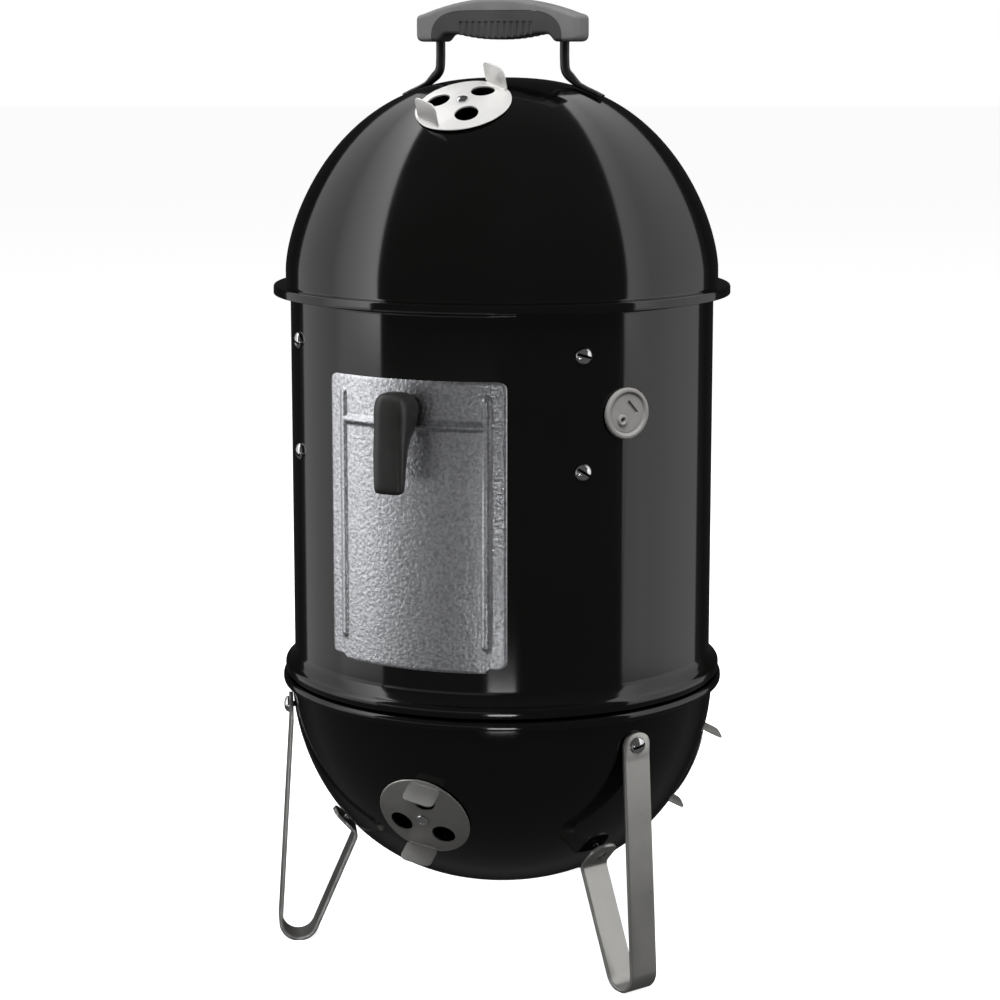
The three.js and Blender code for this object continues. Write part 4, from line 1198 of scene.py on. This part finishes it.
# reach is how far off the cloths hang, in metres; a look down at this slope meets the wall at wallTop, and
# the lid up to lidTop higher
studio = {
    "reach": 2.5, "lookDown": 0.1, "wallTop": 0.55, "lidTop": 0.15, "topLean": 22, "boxSteps": 40,
    # the cloth is dimmer beside the door than above it
    "dimLight": 1.15, "dimZ": (0.16, 0.28),
    "worldLight": 0.1, "backLight": 0.02, "behind": (0.55, 0.8),
}
# stops: azimuths on the smoker, in degrees, where the softbox shows, and how bright it is there
# wallShare: how much of the cloth shows in the wall; the rest shows in the lid
softboxes = {
    "softboxLeft": {
        "stops": [(-68, 0.6), (-50, 0.85), (-41, 2.0), (-33.8, 3.3)], "wallShare": 0.3, "bottomZ": -0.4,
    },
    "softboxRight": {
        "stops": [(34.1, 1.75), (42, 1.1), (52, 0.95), (66.5, 0.5)], "wallShare": 0.3, "bottomZ": -0.4,
    },
    "softboxFront": {
        "stops": [(-33, 1.1), (-26, 0.5), (-12, 0.42), (-1.5, 0.45)], "wallShare": 1, "bottomZ": -0.3,
        "topZ": 0.12,
    },
}


def brightness(stops, azimuth):
    for (first, low), (last, high) in zip(stops, stops[1:]):
        if azimuth <= last:
            return low + (high - low) * max(azimuth - first, 0) / (last - first)
    return stops[-1][1]


def mirrorPoint(azimuth, lean):
    # where a level look at the smoker goes on to, off its surface at this azimuth and lean
    look = Vector((0, 1, -studio["lookDown"])).normalized()
    level = math.sin(lean)
    facing = Vector((math.sin(azimuth) * level, -math.cos(azimuth) * level, math.cos(lean)))
    radius = centre["radius"] * mm
    height = studio["wallTop"] + studio["lidTop"] * facing.z
    start = Vector((facing.x * radius, facing.y * radius, height))
    return start + (look - 2 * look.dot(facing) * facing) * studio["reach"]


def hide(shown, rays):
    for ray in rays:
        setattr(shown, f"visible_{ray}", False)


def stageObject(name, bm, material, shader, hiddenFrom):
    addNode(material.node_tree, "ShaderNodeOutputMaterial", {}, {"Surface": shader.outputs[0]})
    mesh = bpy.data.meshes.new(name)
    bm.to_mesh(mesh)
    bm.free()
    mesh.materials.append(material)
    shown = bpy.data.objects.new(name, mesh)
    scene.collection.objects.link(shown)
    hide(shown, hiddenFrom)


def makeSoftbox(name, look):
    # a curved cloth: straight up to where it shows in the wall's top, then over the lid
    stops, wallShare = look["stops"], look["wallShare"]
    first, last = stops[0][0], stops[-1][0]
    brightest = max(stop[1] for stop in stops)
    lowZ, highZ = studio["dimZ"]
    bm = bmesh.new()
    bmesh.ops.create_grid(bm, x_segments=studio["boxSteps"], y_segments=studio["boxSteps"], size=0.5)
    glow = bm.verts.layers.float_color.new("glow")
    for v in bm.verts:
        degrees = first + (last - first) * (v.co.x + 0.5)
        climb = min(v.co.y + 0.5, 1)
        lean = 90
        if climb > wallShare:
            lean -= (90 - studio["topLean"]) * (climb - wallShare) / (1 - wallShare)
        v.co = mirrorPoint(math.radians(degrees), math.radians(lean))
        if climb <= wallShare:
            top = look.get("topZ", v.co.z)
            v.co.z = look["bottomZ"] + (top - look["bottomZ"]) * climb / wallShare
        level = brightness(stops, degrees)
        dimmed = min(level, studio["dimLight"])
        level = dimmed + (level - dimmed) * min(max((v.co.z - lowZ) / (highZ - lowZ), 0), 1)
        level /= brightest
        v[glow] = (level, level, level, 1)
    bmesh.ops.translate(bm, vec=axis, verts=bm.verts)
    material, tree = newMaterial(name + "Cloth")[:2]
    shade = addNode(tree, "ShaderNodeAttribute", {"attribute_name": "glow"}).outputs["Color"]
    light = addNode(tree, "ShaderNodeEmission", {"Strength": brightest}, {"Color": shade})
    stageObject(name, bm, material, light, ("camera", "shadow"))


for name, look in softboxes.items():
    makeSoftbox(name, look)

# a low card in front, which shows only in the beads and the rims
card = {"width": 600, "depth": 10, "height": 120, "place": (0, -2500, -450), "light": 13}
bm = block(card["width"], card["depth"], card["height"], card["place"])
bmesh.ops.translate(bm, vec=axis, verts=bm.verts)
material, tree = newMaterial("cardCloth")[:2]
light = addNode(tree, "ShaderNodeEmission", {"Strength": card["light"]})
stageObject("lowCard", bm, material, light, ("camera", "shadow", "diffuse"))

# a broad soft light from above the camera, for the plastics and the floor
lampLook = {"size": 1.6, "place": (0.1, -1.4, 2.6), "aimZ": 0.4, "watts": 84}
lampData = bpy.data.lights.new("broadLight", "AREA")
lampData.size = lampLook["size"]
lampData.energy = lampLook["watts"]
lamp = bpy.data.objects.new("broadLight", lampData)
scene.collection.objects.link(lamp)
lamp.location = axis + Vector(lampLook["place"])
aim = axis + Vector((0, 0, lampLook["aimZ"])) - lamp.location
lamp.rotation_euler = aim.to_track_quat("-Z", "Y").to_euler()
hide(lamp, ("glossy", "camera"))

floorLook = {
    "half": 30, "dark": "#f2f2f0", "light": "#f5f5f4", "patch": 400, "roughness": 0.9, "glow": 0.88,
}
bm = bmesh.new()
bmesh.ops.create_grid(bm, x_segments=1, y_segments=1, size=floorLook["half"])
material, tree, place = newMaterial("paleFloor")
patch = patternOf(tree, place, floorLook["patch"])
tone = shades(tree, patch, [(0.3, floorLook["dark"]), (0.7, floorLook["light"])])
settings = {
    "Roughness": floorLook["roughness"], "Emission Color": (1, 1, 1, 1),
    "Emission Strength": floorLook["glow"],
}
shader = addNode(tree, "ShaderNodeBsdfPrincipled", settings, {"Base Color": tone})
stageObject("floor", bm, material, shader, ("glossy", "diffuse"))

world = bpy.data.worlds.new("studioWorld")
scene.world = world
world.use_nodes = True
tree = world.node_tree
tree.nodes.clear()
seen = addNode(tree, "ShaderNodeLightPath").outputs["Is Camera Ray"]
# the room is darker behind the smoker, where its outline would show the light at a graze
direction = addNode(tree, "ShaderNodeTexCoord").outputs["Generated"]
behind = addNode(tree, "ShaderNodeSeparateXYZ", {}, {0: direction}).outputs["Y"]
roomLight = spread(tree, behind, studio["worldLight"], studio["backLight"], *studio["behind"])
dim = addNode(tree, "ShaderNodeBackground", {"Color": (1, 1, 1, 1)}, {"Strength": roomLight})
white = addNode(tree, "ShaderNodeBackground", {"Color": (1, 1, 1, 1), "Strength": 1.0})
mix = addNode(tree, "ShaderNodeMixShader", {}, {0: seen, 1: dim.outputs[0], 2: white.outputs[0]})
addNode(tree, "ShaderNodeOutputWorld", {}, {"Surface": mix.outputs[0]})

shot = {
    "distance": 2.0184, "height": 0.7465, "pitch": 8.747, "lens": 88.3, "sensor": 36,
    "shiftX": -0.002, "shiftY": -0.0745,
}
cameraData = bpy.data.cameras.new("camera")
cameraData.lens = shot["lens"]
cameraData.sensor_width = shot["sensor"]
cameraData.shift_x = shot["shiftX"]
cameraData.shift_y = shot["shiftY"]
camera = bpy.data.objects.new("camera", cameraData)
scene.collection.objects.link(camera)
camera.location = axis + Vector((0, -shot["distance"], shot["height"]))
camera.rotation_euler = (math.radians(90 - shot["pitch"]), 0, 0)
scene.camera = camera
scene.view_settings.view_transform = "Standard"
print("studio made")
